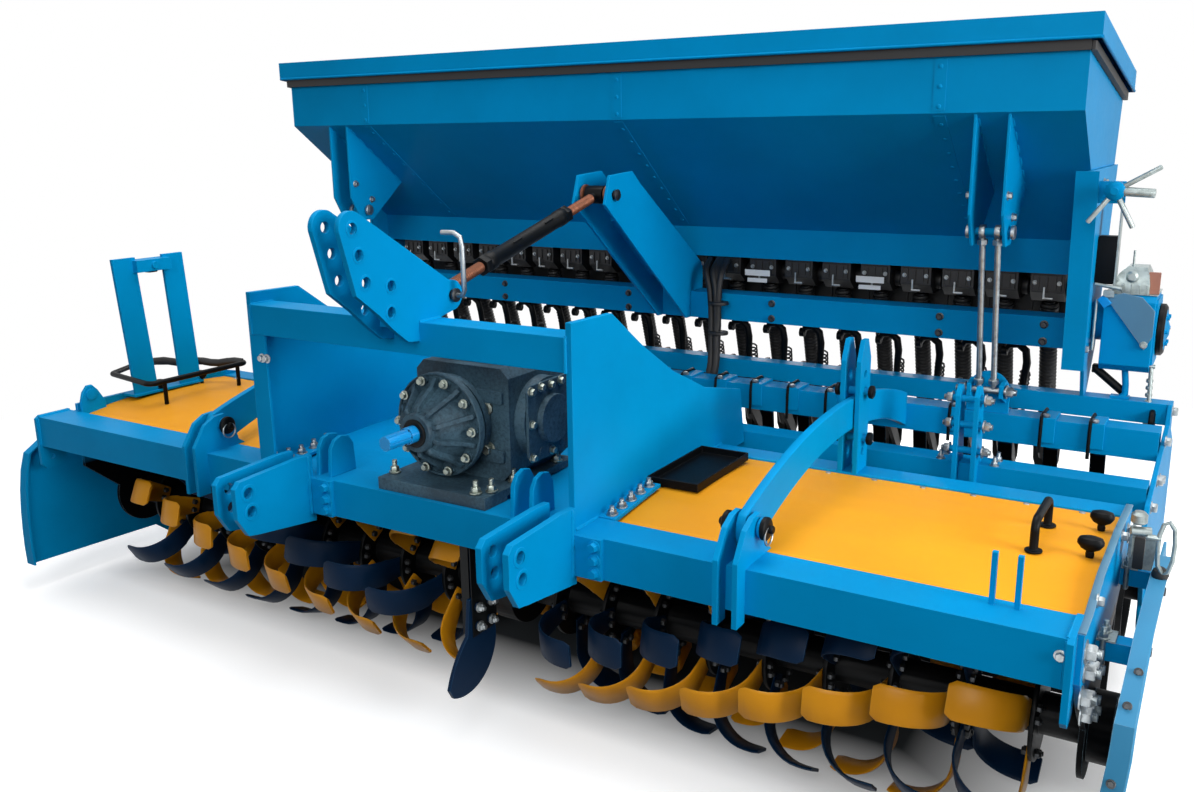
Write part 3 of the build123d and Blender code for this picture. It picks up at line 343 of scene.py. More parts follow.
@dataclass(frozen=True)
class Studio:
    """Pale floor and wall, soft lamps and the camera."""

    place: tuple[float, float, float] = (1.757, -2.648, 1.471)
    turn: float = 31.667        # degrees towards -X from straight ahead
    tip: float = 13.673         # degrees down
    roll: float = 0.751
    lens: float = 32.02
    shift: tuple[float, float] = (-0.0059, -0.0041)
    mottle_mm: float = 900.0
    # distances in metres over which the painted shadow under the machine ends, and the floor turns to wall
    painted_shadow_x: tuple[float, float] = (1.15, 1.6)
    painted_shadow_y: tuple[float, float] = (0.32, 0.66)
    fade: tuple[float, float] = (1.9, 4.0)
    glow: float = 0.34

    def aim(self) -> Matrix:
        """Work out the camera's rotation.

        Returns:
            Rotation matrix of the camera.
        """
        turn, tip, roll = (math.radians(a) for a in (self.turn, self.tip, self.roll))
        ahead = Vector((-math.sin(turn), math.cos(turn), 0))
        right = Vector((math.cos(turn), math.sin(turn), 0))
        view = ahead * math.cos(tip) - UP * math.sin(tip)
        down = -UP * math.cos(tip) - ahead * math.sin(tip)
        side = right * math.cos(roll) + down * math.sin(roll)
        under = down * math.cos(roll) - right * math.sin(roll)
        return Matrix((side, -under, -view)).transposed()

    def camera(self) -> None:
        """Stand the camera where the machine is seen from its right front."""
        data = bpy.data.cameras.new("camera")
        data.lens, data.sensor_width, data.sensor_fit = self.lens, 36.0, "HORIZONTAL"
        data.shift_x, data.shift_y = self.shift
        data.clip_end = 60.0
        camera = bpy.data.objects.new("camera", data)
        camera.matrix_world = Matrix.Translation(self.place) @ self.aim().to_4x4()
        bpy.context.scene.collection.objects.link(camera)
        bpy.context.scene.camera = camera

    def lamp(self, name: str, place: Point, target: Point, size: float, power: float) -> None:
        """Hang one square softbox.

        Args:
            name: Name of the lamp.
            place: Where it hangs, in metres.
            target: What it points at.
            size: Side of the square, in metres.
            power: Watts.
        """
        data = bpy.data.lights.new(name, "AREA")
        data.size, data.energy = size, power
        lamp = bpy.data.objects.new(name, data)
        lamp.location = place
        lamp.rotation_euler = (Vector(target) - Vector(place)).to_track_quat("-Z", "Y").to_euler()
        bpy.context.scene.collection.objects.link(lamp)

    def backdrop_rays(self, tree: bpy.types.NodeTree) -> bpy.types.Node:
        """Tell the rays that see the studio white from those that only carry light.

        Args:
            tree: Node tree of the world or the floor.

        Returns:
            Node that gives 1 for camera, transmission and glossy rays.
        """
        rays = add_node(tree, "LightPath")
        through = add_node(tree, "Math", None,
                           {0: rays.outputs["Is Camera Ray"], 1: rays.outputs["Is Transmission Ray"]},
                           operation="MAXIMUM")
        return add_node(tree, "Math", None, {0: through, 1: rays.outputs["Is Glossy Ray"]},
                        operation="MAXIMUM")

    def world(self) -> None:
        """Light all round with a grey dome that looks white to the camera and in reflections."""
        world = bpy.data.worlds.new("studio_world")
        world.use_nodes = True
        tree = world.node_tree
        tree.nodes.clear()
        way = add_node(tree, "SeparateXYZ", None, {0: add_node(tree, "TexCoord").outputs["Generated"]})
        rise = add_node(tree, "MapRange",
                        {"From Min": 0.0, "From Max": 0.8, "To Min": 0.16, "To Max": 0.52},
                        {"Value": way.outputs["Z"]})
        dome = add_node(tree, "Background", {"Color": linear("#F4F7FA")}, {"Strength": rise})
        white = add_node(tree, "Background", {"Color": (1, 1, 1, 1), "Strength": 1.0})
        mix = add_node(tree, "MixShader", None, {0: self.backdrop_rays(tree), 1: dome, 2: white})
        add_node(tree, "OutputWorld", None, {"Surface": mix})
        bpy.context.scene.world = world

    def floor(self) -> None:
        """Lay a pale floor with a faint mottle."""
        sketch = Sketch()
        sketch.surface(lambda u, v: ((u - 0.5) * 40, (v - 0.5) * 40, -0.002), 4, 4)
        floor = sketch.object("studio_floor")
        material, tree = new_material("floor_paint")
        spot = add_node(tree, "TexCoord").outputs["Object"]
        mottle = add_node(tree, "TexNoise", {"Scale": per_metre(self.mottle_mm)}, {"Vector": spot})
        tone = add_node(tree, "Mix", {"A": linear("#FCFCFC"), "B": linear("#F6F7F8")},
                        {"Factor": mottle}, data_type="RGBA")
        # painted shadow: under the machine the floor's colour is darkened to grey and its own glow is
        # switched off, so that the shade stays deep
        offset = add_node(tree, "VectorMath", {1: (0.0, 0.02, 0.0)}, {0: spot}, operation="SUBTRACT")
        apart = add_node(tree, "VectorMath", None, {0: offset}, operation="ABSOLUTE")
        away = add_node(tree, "SeparateXYZ", None, {0: apart})
        past_end = add_node(tree, "MapRange", {"From Min": self.painted_shadow_x[0], "From Max": self.painted_shadow_x[1]},
                            {"Value": away.outputs["X"]})
        past_face = add_node(tree, "MapRange", {"From Min": self.painted_shadow_y[0], "From Max": self.painted_shadow_y[1]},
                             {"Value": away.outputs["Y"]})
        outside_painted_shadow = add_node(tree, "Math", None, {0: past_end, 1: past_face}, operation="MAXIMUM")
        shade = add_node(tree, "Mix", {"A": linear("#45494C")},
                         {"Factor": outside_painted_shadow, "B": tone}, data_type="RGBA")
        paint = add_node(tree, "BsdfDiffuse", None, {"Color": shade})
        lit = add_node(tree, "Math", {1: self.glow}, {0: outside_painted_shadow}, operation="MULTIPLY")
        glow = add_node(tree, "Emission", {"Color": (1, 1, 1, 1)}, {"Strength": lit})
        near = add_node(tree, "AddShader", None, {0: paint, 1: glow})
        # far from the machine the floor runs into the white wall
        reach = add_node(tree, "VectorMath", None, {0: spot}, operation="LENGTH")
        fade = add_node(tree, "MapRange", {"From Min": self.fade[0], "From Max": self.fade[1]},
                        {"Value": reach.outputs["Value"]})
        wall = add_node(tree, "Emission", {"Color": (1, 1, 1, 1), "Strength": 1.0})
        both = add_node(tree, "MixShader", None, {0: fade, 1: near, 2: wall})
        # light that bounces off the floor is kept low
        dim = add_node(tree, "BsdfDiffuse", {"Color": linear("#151617")})
        mix = add_node(tree, "MixShader", None, {0: self.backdrop_rays(tree), 1: dim, 2: both})
        add_node(tree, "OutputMaterial", None, {"Surface": mix})
        floor.data.materials.append(material)

    def build(self) -> None:
        """Build the whole studio."""
        self.camera()
        self.world()
        self.floor()
        self.lamp("softbox_top", (0.3, 0.5, 5.4), (0.1, 0.0, 0.4), 3.8, 200.0)
        self.lamp("softbox_right", (6.4, -1.4, 2.4), (0.0, -0.2, 0.8), 3.0, 360.0)
        self.lamp("softbox_back", (-1.2, 5.8, 2.9), (0.0, 0.2, 0.8), 3.2, 170.0)
        self.lamp("softbox_front", (1.7, -5.5, 3.4), (0.0, 0.0, 0.5), 3.0, 135.0)
        LOG.info("studio ready")


# ---- mesh sketching -----------------------------------------------------
def turns(count: int, first: float = 0.0) -> list[float]:
    """Share a full turn evenly, in radians, from a first angle in degrees."""
    return [math.radians(first + 360 * k / count) for k in range(count)]


class Sketch:
    """A mesh drawn piece by piece.

    Points are in metres; radii, profiles, chamfers and bolt sizes in millimetres.
    """

    def __init__(self) -> None:
        """Start an empty mesh."""
        self.mesh = bmesh.new()

    def loop_faces(self, rings: list[list[bmesh.types.BMVert]], closed: bool = True) -> None:
        """Join neighbouring rings of vertices with quads.

        Args:
            rings: Rings of equal length.
            closed: Whether each ring closes on itself.
        """
        for near, far in zip(rings, rings[1:]):
            count = len(near)
            for i in range(count if closed else count - 1):
                j = (i + 1) % count
                self.mesh.faces.new((near[i], near[j], far[j], far[i]))

    def loft(self, layers: Sequence[Sequence[Vector]], capped: bool = True) -> None:
        """Join rings of points into a skin.

        Args:
            layers: Rings of equal length, from one end to the other.
            capped: Whether the two ends are closed.
        """
        rings = [[self.mesh.verts.new(point) for point in layer] for layer in layers]
        self.loop_faces(rings)
        if capped:
            self.mesh.faces.new(list(reversed(rings[0])))
            self.mesh.faces.new(rings[-1])

    def lathe(self, start: Vector, axis: Vector, profile: Sequence[Point], sides: int = 20,
              capped: bool = True) -> None:
        """Turn a profile round an axis.

        Args:
            start: Where the axis begins.
            axis: Direction of the axis.
            profile: (radius, distance along the axis) pairs.
            sides: Corners of each ring; 6 makes a hexagon.
            capped: Whether the two ends are closed.
        """
        turn = axis.to_track_quat("Z", "Y").to_matrix()
        angles = [2 * math.pi * (i + 0.5) / sides for i in range(sides)]
        self.loft([[start + turn @ Vector((radius * math.cos(a), radius * math.sin(a), reach)) / 1000
                    for a in angles] for radius, reach in profile], capped)

    def rod(self, a: Vector, b: Vector, radius: float, sides: int = 16, ease: float = 0.12) -> None:
        """Draw a round bar with eased ends between two points.

        Args:
            a: Middle of one end.
            b: Middle of the other end.
            radius: Radius of the bar.
            sides: Corners of each ring.
            ease: Chamfer of the ends as a share of the radius.
        """
        length, lip = (b - a).length * 1000, radius * ease
        self.lathe(a, b - a,
                   [(radius - lip, 0), (radius, lip), (radius, length - lip), (radius - lip, length)], sides)

    def tube(self, path: Sequence[Vector], radius: float | Sequence[float], sides: int = 12,
             closed: bool = False) -> None:
        """Sweep a circle along a line of points.

        Args:
            path: Points that the tube follows.
            radius: Radius, one for all or one for each point.
            sides: Corners of the circle.
            closed: Whether the path closes on itself.
        """
        count = len(path)
        radii = list(radius) if isinstance(radius, (list, tuple)) else [radius] * count
        normal, layers = None, []
        for i, point in enumerate(path):
            before = path[i - 1] if i or closed else path[i]
            after = path[(i + 1) % count] if i < count - 1 or closed else path[i]
            along = (after - before).normalized()
            if normal is None:
                normal = along.orthogonal().normalized()
            normal = (normal - along * normal.dot(along)).normalized()
            other = along.cross(normal)
            layers.append([point + (normal * math.cos(t) + other * math.sin(t)) * (radii[i] / 1000)
                           for t in turns(sides)])
        if not closed:
            self.loft(layers)
            return
        rings = [[self.mesh.verts.new(p) for p in layer] for layer in layers]
        first, last = rings[0], rings[-1]
        shift = min(range(sides), key=lambda k: (last[0].co - first[k].co).length)
        self.loop_faces(rings + [first[shift:] + first[:shift]])

    def plate(self, outline: Sequence[Vector], depth: Vector, ease: float = 0.0) -> None:
        """Extrude a flat outline, its rims eased by a small chamfer.

        Args:
            outline: Corner points in one plane.
            depth: Vector from the first face to the second.
            ease: Width of the chamfer.
        """
        centre = sum(outline, Vector()) / len(outline)
        unit, ease = depth.normalized(), ease / 1000
        inset = [p + (centre - p).normalized() * ease for p in outline]
        layers = [inset, list(outline), [p + depth for p in outline], [p + depth for p in inset]]
        lift = [0.0, ease, -ease, 0.0]
        if not ease:
            layers, lift = [list(outline), [p + depth for p in outline]], [0.0, 0.0]
        self.loft([[p + unit * up for p in layer] for layer, up in zip(layers, lift)])

    def box(self, low: Point, high: Point, ease: float = 0.0) -> None:
        """Draw a box with eased rims.

        Args:
            low: Corner with the lowest values.
            high: Corner with the highest values.
            ease: Width of the chamfer.
        """
        (x0, y0, z0), (x1, y1, z1) = low, high
        self.plate([Vector((x0, y0, z0)), Vector((x1, y0, z0)), Vector((x1, y1, z0)), Vector((x0, y1, z0))],
                   Vector((0, 0, z1 - z0)), ease)

    def surface(self, place: Callable[[float, float], Point], across: int, along: int) -> None:
        """Draw a sheet from a function of two shares between 0 and 1.

        Args:
            place: Gives the point for (u, v).
            across: Cells along u.
            along: Cells along v.
        """
        rows = [[self.mesh.verts.new(place(i / across, j / along)) for i in range(across + 1)]
                for j in range(along + 1)]
        self.loop_faces(rows, closed=False)

    def bolt(self, seat: Vector, out: Vector, size: float, washer: bool = True, stub: float = 0.0) -> None:
        """Draw a hexagon head on a washer, with a threaded end if it has a stub.

        Args:
            seat: Point on the face that the washer sits on.
            out: Direction that the head faces.
            size: Radius of the hexagon across its corners.
            washer: Whether a washer lies under it.
            stub: Length of thread that stands out.
        """
        out = out.normalized()
        start = seat - out * 0.001
        if washer:
            self.lathe(start, out, [(size * 1.35, 0), (size * 1.35, 3), (size * 1.25, 3.5)], 20)
            start = start + out * 0.0034
        tall = size * 1.05
        self.lathe(start, out,
                   [(size * 0.98, 0), (size, tall * 0.12), (size, tall * 0.82), (size * 0.86, tall)], 6)
        if stub:
            thread = [(size * (0.52 if k % 2 else 0.58), tall + stub * k / 8) for k in range(9)]
            self.lathe(start, out,
                       [(size * 0.55, tall * 0.5), *thread, (size * 0.46, tall + stub * 1.05)], 12)

    def weld(self, a: Vector, b: Vector, radius: float) -> None:
        """Lay a rippled weld bead.

        Args:
            a: Where it starts.
            b: Where it stops.
            radius: Half of its width.
        """
        steps = max(4, int((b - a).length / 0.006))
        path = [a.lerp(b, i / steps) for i in range(steps + 1)]
        radii = [radius * (0.72 if i in (0, steps) else 1.0 if i % 2 else 0.86) for i in range(steps + 1)]
        self.tube(path, radii, 8)

    def object(self, name: str, smooth: float = 34.0) -> bpy.types.Object:
        """Finish the mesh as an object in the scene.

        Args:
            name: Name of the object.
            smooth: Edges that turn less than this many degrees are shaded smooth.

        Returns:
            The new object.
        """
        bmesh.ops.recalc_face_normals(self.mesh, faces=self.mesh.faces)
        limit = math.radians(smooth)
        for face in self.mesh.faces:
            face.smooth = True
        for edge in self.mesh.edges:
            edge.smooth = len(edge.link_faces) == 2 and edge.calc_face_angle(0.0) < limit
        data = bpy.data.meshes.new(name)
        self.mesh.to_mesh(data)
        self.mesh.free()
        made = bpy.data.objects.new(name, data)
        bpy.context.scene.collection.objects.link(made)
        return made


def smooth_line(points: Sequence[Vector], steps: int) -> list[Vector]:
    """Run a smooth curve through a few points.

    Args:
        points: Points that the curve passes through.
        steps: Short stretches between two neighbouring points.

    Returns:
        Points along the curve.
    """
    line = []
    last = len(points) - 1
    for i in range(last):
        p0, p1, p2, p3 = (points[max(0, i - 1)], points[i], points[i + 1], points[min(last, i + 2)])
        for t in (k / steps for k in range(steps)):
            line.append(0.5 * ((2 * p1) + (p2 - p0) * t + (2 * p0 - 5 * p1 + 4 * p2 - p3) * t * t
                               + (3 * p1 - p0 - 3 * p2 + p3) * t ** 3))
    return line + [points[-1]]


@dataclass(frozen=True)
class Datum:
    """Turns bench measures in millimetres to points in metres."""

    face_y: float
    top_z: float

    @classmethod
    def read(cls) -> "Datum":
        """Take the datum from the upper cross tube.

        Returns:
            The machine's datum.
        """
        low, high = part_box("top_crossbeam")
        setback, rise = 0.010, 0.442    # of the tube's front face and top from the front beam's
        return cls(low.y - setback, high.z - rise)

    def at(self, x: float, station: float, height: float) -> Vector:
        """Give the point for an X, a station and a height in millimetres."""
        return Vector((x / 1000, self.face_y + station / 1000, self.top_z + height / 1000))


class Finish(Enum):
    """The machine's finishes."""

    # clear mid blue, nearly without reflections
    BLUE = Enamel("blue_enamel_steel", "#008AC4", "#0080B6", "#2C98C6", shine=0.035, coat=0.0, dusting=0.02)
    # the same blue gone pale and rubbed
    PALE_BLUE = Enamel("scuffed_blue_enamel_steel", "#3B82A8", "#3078A0", "#86A4B2", wear=0.9, specks=0.4,
                       shine=0.1, coat=0.0, roughness=0.45)
    # warm yellow, matt with dust
    YELLOW = Enamel("yellow_enamel_sheet", "#EA9E1C", "#E4940F", "#F0B444", dust="#B99A5A", roughness=0.55,
                    coat=0.0, shine=0.14)
    # blue-grey, pebbled
    SLATE = CastEnamel("slate_enamel_cast_iron", "#456271", "#293C48")
    # thin gold film with a warm gleam on the bends
    GOLD = Enamel("gold_lacquer_spring_steel", "#E39A16", "#CC8712", "#E8B850", roughness=0.34, coat=0.02,
                  shine=0.2, wear=0.7, specks=0.14, dusting=0.0)
    # near-black blue with paler edges
    NAVY = Enamel("navy_dip_spring_steel", "#06233F", "#041A30", "#2A567A", roughness=0.4, coat=0.0,
                  shine=0.08, wear=0.8, dusting=0.0)
    # soft black that keeps its edges readable
    BLACK = Enamel("black_enamel_steel", "#07090B", "#040506", "#26292C", roughness=0.42, dusting=0.04,
                   dust="#2A2825", shine=0.12, coat=0.0)
    # blue above, black below a set height
    DIPPED = Enamel("blue_enamel_black_below_steel", "#008AC4", "#0080B6", "#8FA9B4", shine=0.035, coat=0.0,
                    dusting=0.02, wear=0.95, black_below=0.43)
    SCRAPER = Enamel("blue_strap_black_blade_steel", "#008AC4", "#0080B6", "#2C98C6", shine=0.035, coat=0.0,
                     dusting=0.02, black_below=0.58)
    # brighter and glossier blue of the forged drive shaft
    SHAFT = Enamel("blue_dip_forged_shaft", "#0090D6", "#0080C0", "#4FB4E0", roughness=0.32)
    # blue-grey rubbed down to metal in patches
    SCUFFED = Enamel("scuffed_blue_grey_steel", "#4F7F99", "#466F8A", "#9DA9AE", roughness=0.5, wear=1.0,
                     specks=0.6)
    # light grey with large spangles
    GALVANISED = BareMetal("galvanised_spangled_steel", "#9FA9A8", "#55605E", metallic=0.85, roughness=0.42,
                           spangle_mm=14.0)
    # small bright points on bolt heads
    ZINC = BareMetal("zinc_plate_steel", "#A3A9AB", "#55595B", roughness=0.4)
    DULL_ZINC = BareMetal("dull_zinc_steel", "#9DA59C", "#4C524D", roughness=0.42)
    # charcoal heads that hardly shine
    DULL_BOLT = BareMetal("black_oxide_bolt_steel", "#4A4C4E", "#141516", roughness=0.45)
    # brown thread with dark furrows
    RUST = BareMetal("copper_brown_rusted_thread", "#7A4A33", "#3A2218", metallic=0.6, roughness=0.5)
    # even, flat colours of moulded and primed parts
    PRIMER = MouldedPlastic("red_brown_primer_sheet", "#A06A58", roughness=0.6)
    PLASTIC = MouldedPlastic("black_moulded_nylon", "#0D0E10")
    LABEL = MouldedPlastic("white_polyester_plate", "#D9DCDC", roughness=0.35)
    HOSE = MouldedPlastic("black_rubber_hose", "#0B0B0C", roughness=0.6)

    def material(self) -> bpy.types.Material:
        """Give the material, built once."""
        return bpy.data.materials.get(self.value.name) or self.value.build()


# the record's material slot of every piece in these finishes
SLOTS = {Finish.BLUE: "blue_paint", Finish.PALE_BLUE: "blue_paint", Finish.BLACK: "black_paint",
         Finish.SLATE: "slate_paint"}


# ---- sub-assemblies -----------------------------------------------------
@dataclass
class Assembly:
    """A sub-assembly that dresses CAD nodes and adds pieces of its own."""

    frame: dict
    datum: Datum
    rounding: float = 1.6       # along the sharp edges of CAD nodes

    def at(self, x: float, station: float, height: float) -> Vector:
        """Give the point for bench measures in millimetres."""
        return self.datum.at(x, station, height)

    def path(self, places: Sequence[Point]) -> list[Vector]:
        """Give the points of a list of (X, station, height)."""
        return [self.at(*place) for place in places]

    def side_on(self, x: float, outline: Sequence[Point]) -> list[Vector]:
        """Give the points of a list of (station, height), all at one X."""
        return [self.at(x, s, h) for s, h in outline]

    def face_on(self, station: float, outline: Sequence[Point]) -> list[Vector]:
        """Give the points of a list of (X, height), all at one station."""
        return [self.at(x, station, h) for x, h in outline]

    def panel(self, sketch: Sketch, xs: Point, station: float, heights: Point, thick: float,
              ease: float = 0.0) -> None:
        """Draw an upright sheet that faces ahead.

        Args:
            sketch: Mesh that gets the sheet.
            xs: Its left and right rims.
            station: Its rear face.
            heights: Its lower and upper rims.
            thick: Thickness.
            ease: Width of the chamfer.
        """
        (x0, x1), (h0, h1) = xs, heights
        rim = self.face_on(station, ((x0, h0), (x1, h0), (x1, h1), (x0, h1)))
        sketch.plate(rim, AHEAD * (thick / 1000), ease)

    def box(self, sketch: Sketch, low: Point, high: Point, ease: float) -> None:
        """Draw a box between two corners in bench measures.

        Args:
            sketch: Mesh that gets the box.
            low: Its left, front, lower corner.
            high: Its right, rear, upper corner.
            ease: Width of the chamfer.
        """
        sketch.box(self.at(*low), self.at(*high), ease)

    def bar(self, sketch: Sketch, start: Point, end: Point, radius: float) -> None:
        """Draw a round bar between two places.

        Args:
            sketch: Mesh that gets the bar.
            start: Middle of one end.
            end: Middle of the other end.
            radius: Radius of the bar.
        """
        sketch.rod(self.at(*start), self.at(*end), radius)

    def bolt_up(self, sketch: Sketch, places: Sequence[Point], out: Vector, size: float,
                stub: float = 0.0) -> None:
        """Set the same bolt at several places.

        Args:
            sketch: Mesh that gets the bolts.
            places: Seats of the bolts.
            out: Direction that the heads face.
            size: Radius of the hexagon across its corners.
            stub: Length of thread that stands out.
        """
        for place in places:
            sketch.bolt(self.at(*place), out, size, stub=stub)

    def paint(self, finish: Finish, *names: str) -> None:
        """Give CAD nodes a finish and eased rims.

        Args:
            finish: What the nodes are finished in.
            *names: CAD nodes.
        """
        for name in names:
            node = self.frame["nodes"][name]
            for place in node.material_slots:
                place.material = finish.material()
            LOG.info("dressed %s in %s", name, finish.value.name)
            node.modifiers.new("join", "WELD").merge_threshold = 0.00002
            flat = node.modifiers.new("flats", "DECIMATE")
            flat.decimate_type, flat.angle_limit = "DISSOLVE", math.radians(0.6)
            ease = node.modifiers.new("ease", "BEVEL")
            ease.width, ease.segments, ease.limit_method = self.rounding / 1000, 2, "ANGLE"
            ease.angle_limit, ease.harden_normals = math.radians(38), True
            node.modifiers.new("facets", "TRIANGULATE")

    def piece(self, sketch: Sketch, name: str, finish: Finish, body: str = "machine",
              slot: str = "", smooth: float = 34.0) -> bpy.types.Object:
        """Finish a drawn piece and set it on its body.

        Args:
            sketch: The drawn mesh.
            name: Name of the piece.
            finish: What it is finished in.
            body: CAD body that it moves with.
            slot: The record's material slot where the finish alone does not settle it; not used.
            smooth: Edges that turn less than this many degrees are shaded smooth.

        Returns:
            The new piece.
        """
        made = sketch.object(name, smooth)
        made.data.materials.append(finish.material())
        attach(made, body)
        slot = slot or SLOTS.get(finish, "")
        LOG.info("built %s, %d faces", name, len(made.data.polygons))
        return made


@dataclass
class Rotor(Assembly):
    """Bent blades of both hands, with the bolts that hold them to the rotor's flanges."""

    axle: tuple[float, float] = (330.0, -330.0)
    tip: float = 255.0
    flange_r: float = 105.0
    flange_thick: float = 10.0
    blades: int = 4
    helix_start: float = 52.0
    helix_step: float = 9.5
    hand_turn: float = 45.0
    thick: float = 8.0
    wide: float = 72.0
    bend: float = 104.0
    clear: float = 9.0
    # of the left half (-1) and the right half (1): X of the centre case's face, gap from it to the first
    # flange and distance from the middle to the last flange
    case_face: dict[int, float] = field(default_factory=lambda: {-1: 95.0, 1: 165.0})
    case_gap: dict[int, float] = field(default_factory=lambda: {-1: 162.0, 1: 140.0})
    last: dict[int, float] = field(default_factory=lambda: {-1: 1315.0, 1: 1473.0})
    flanges: int = 9

    def first(self, side: int) -> float:
        """Give the distance from the middle to the first flange of one half."""
        return side * self.case_face[side] + self.case_gap[side]

    def pitch(self, side: int) -> float:
        """Give the distance between neighbouring flanges of one half."""
        return (self.last[side] - self.first(side)) / (self.flanges - 1)

    def places(self, side: int) -> list[tuple[float, float]]:
        """List the flanges of one half.

        Args:
            side: -1 for the left half, 1 for the right.

        Returns:
            (X, turn in degrees) of each flange from the middle outward.
        """
        return [(side * (self.first(side) + i * self.pitch(side)), self.helix_start - self.helix_step * i)
                for i in range(self.flanges)]

    def profile(self, reach: float) -> list[tuple[float, float, float]]:
        """Lay out the middle line of one blade.

        Args:
            reach: How far the foot reaches sideways.

        Returns:
            (sideways, outward, half width) at each station from root to toe.
        """
        mid, bend = self.thick / 2, self.bend - self.thick / 2
        line = [(mid, self.flange_r - 42, 24.0), (mid, self.flange_r - 8, 29.0),
                (mid, self.tip - self.bend - 10, self.wide / 2 - 3)]
        for k in range(10):
            a = math.radians(90 * k / 9)
            line.append((mid + bend * (1 - math.cos(a)), self.tip - self.bend + bend * math.sin(a),
                         self.wide / 2 + 3 * k / 9))
        line.append((reach - 14, self.tip - mid, self.wide / 2 + 3))
        line.append((reach, self.tip - mid - 1, self.wide / 2 - 6))
        return line

    def blade(self, sketch: Sketch, x: float, hand: int, angle: float, reach: float) -> None:
        """Draw one blade on its flange.

        Args:
            sketch: Mesh that gets the blade.
            x: The flange's middle.
            hand: Way that the foot points, -1 or 1.
            angle: Degrees that the blade is turned about the axle from straight up.
            reach: How far the foot reaches.
        """
        a = math.radians(angle)
        out = Vector((0, -math.sin(a), math.cos(a)))
        lead = Vector((0, math.cos(a), math.sin(a)))
        side = Vector((hand, 0, 0))
        centre = self.at(x + hand * self.flange_thick / 2, *self.axle)
        line = self.profile(reach)
        layers = []
        for i, (sideways, outward, half) in enumerate(line):
            ahead = line[min(i + 1, len(line) - 1)]
            behind = line[max(i - 1, 0)]
            along = Vector((ahead[0] - behind[0], ahead[1] - behind[1])).normalized()
            face = (side * -along.y + out * along.x) * (self.thick / 2)
            middle = side * sideways + out * outward
            worn = 0.62 if i > 2 else 0.94      # the cutting edge is ground to a bevel
            upper = [(-half, 0.35), (-half + 3, 0.94), (half - 9, 0.94), (half - 1, worn * 0.4)]
            section = [*upper, (half, 0.0), *((w, -t) for w, t in reversed(upper))]
            layers.append([centre + (middle + lead * w + face * t) / 1000 for w, t in section])
        sketch.loft(layers)

    def bolts(self, sketch: Sketch, x: float, hand: int, angle: float) -> None:
        """Draw the two bolts of one blade, heads on the blade and nuts on the flange.

        Args:
            sketch: Mesh that gets the bolts.
            x: The flange's middle.
            hand: Way that the foot points, -1 or 1.
            angle: Degrees that the blade is turned about the axle.
        """
        a = math.radians(angle)
        out, lead = Vector((0, -math.sin(a), math.cos(a))), Vector((0, math.cos(a), math.sin(a)))
        for across in (-13, 13):
            for way, face in ((hand, self.flange_thick / 2 + self.thick), (-hand, self.flange_thick / 2)):
                seat = self.at(x + way * face, *self.axle) + (out * 86 + lead * across) / 1000
                sketch.bolt(seat, Vector((way, 0, 0)), 9.5, washer=False, stub=0.0 if way == hand else 4.0)

    def build(self) -> None:
        """Build the blades of both halves."""
        for side, half in ((-1, "left"), (1, "right")):
            reach = self.pitch(side) - self.clear
            bolts = Sketch()
            for hand, word, finish, slot in ((-side, "gold", Finish.GOLD, "gold_blade"),
                                             (side, "dark", Finish.NAVY, "dark_blade")):
                places = self.places(side)
                if hand == side:
                    places = places[:-1]
                elif self.case_gap[side] < reach + self.flange_thick / 2 + 5:
                    places = places[1:]
                sketch = Sketch()
                for x, turn in places:
                    for i in range(self.blades):
                        angle = 90 + turn - (self.hand_turn if hand == side else 0) + i * 360 / self.blades
                        self.blade(sketch, x, hand, angle, reach)
                        self.bolts(bolts, x, hand, angle)
                made = self.piece(sketch, f"bent_blades_{word}_{half}", finish, "rotor", slot, 50)
                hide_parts(f"blades_{word}_{half}")
            self.piece(bolts, f"blade_bolts_{half}", Finish.DULL_BOLT, "rotor")


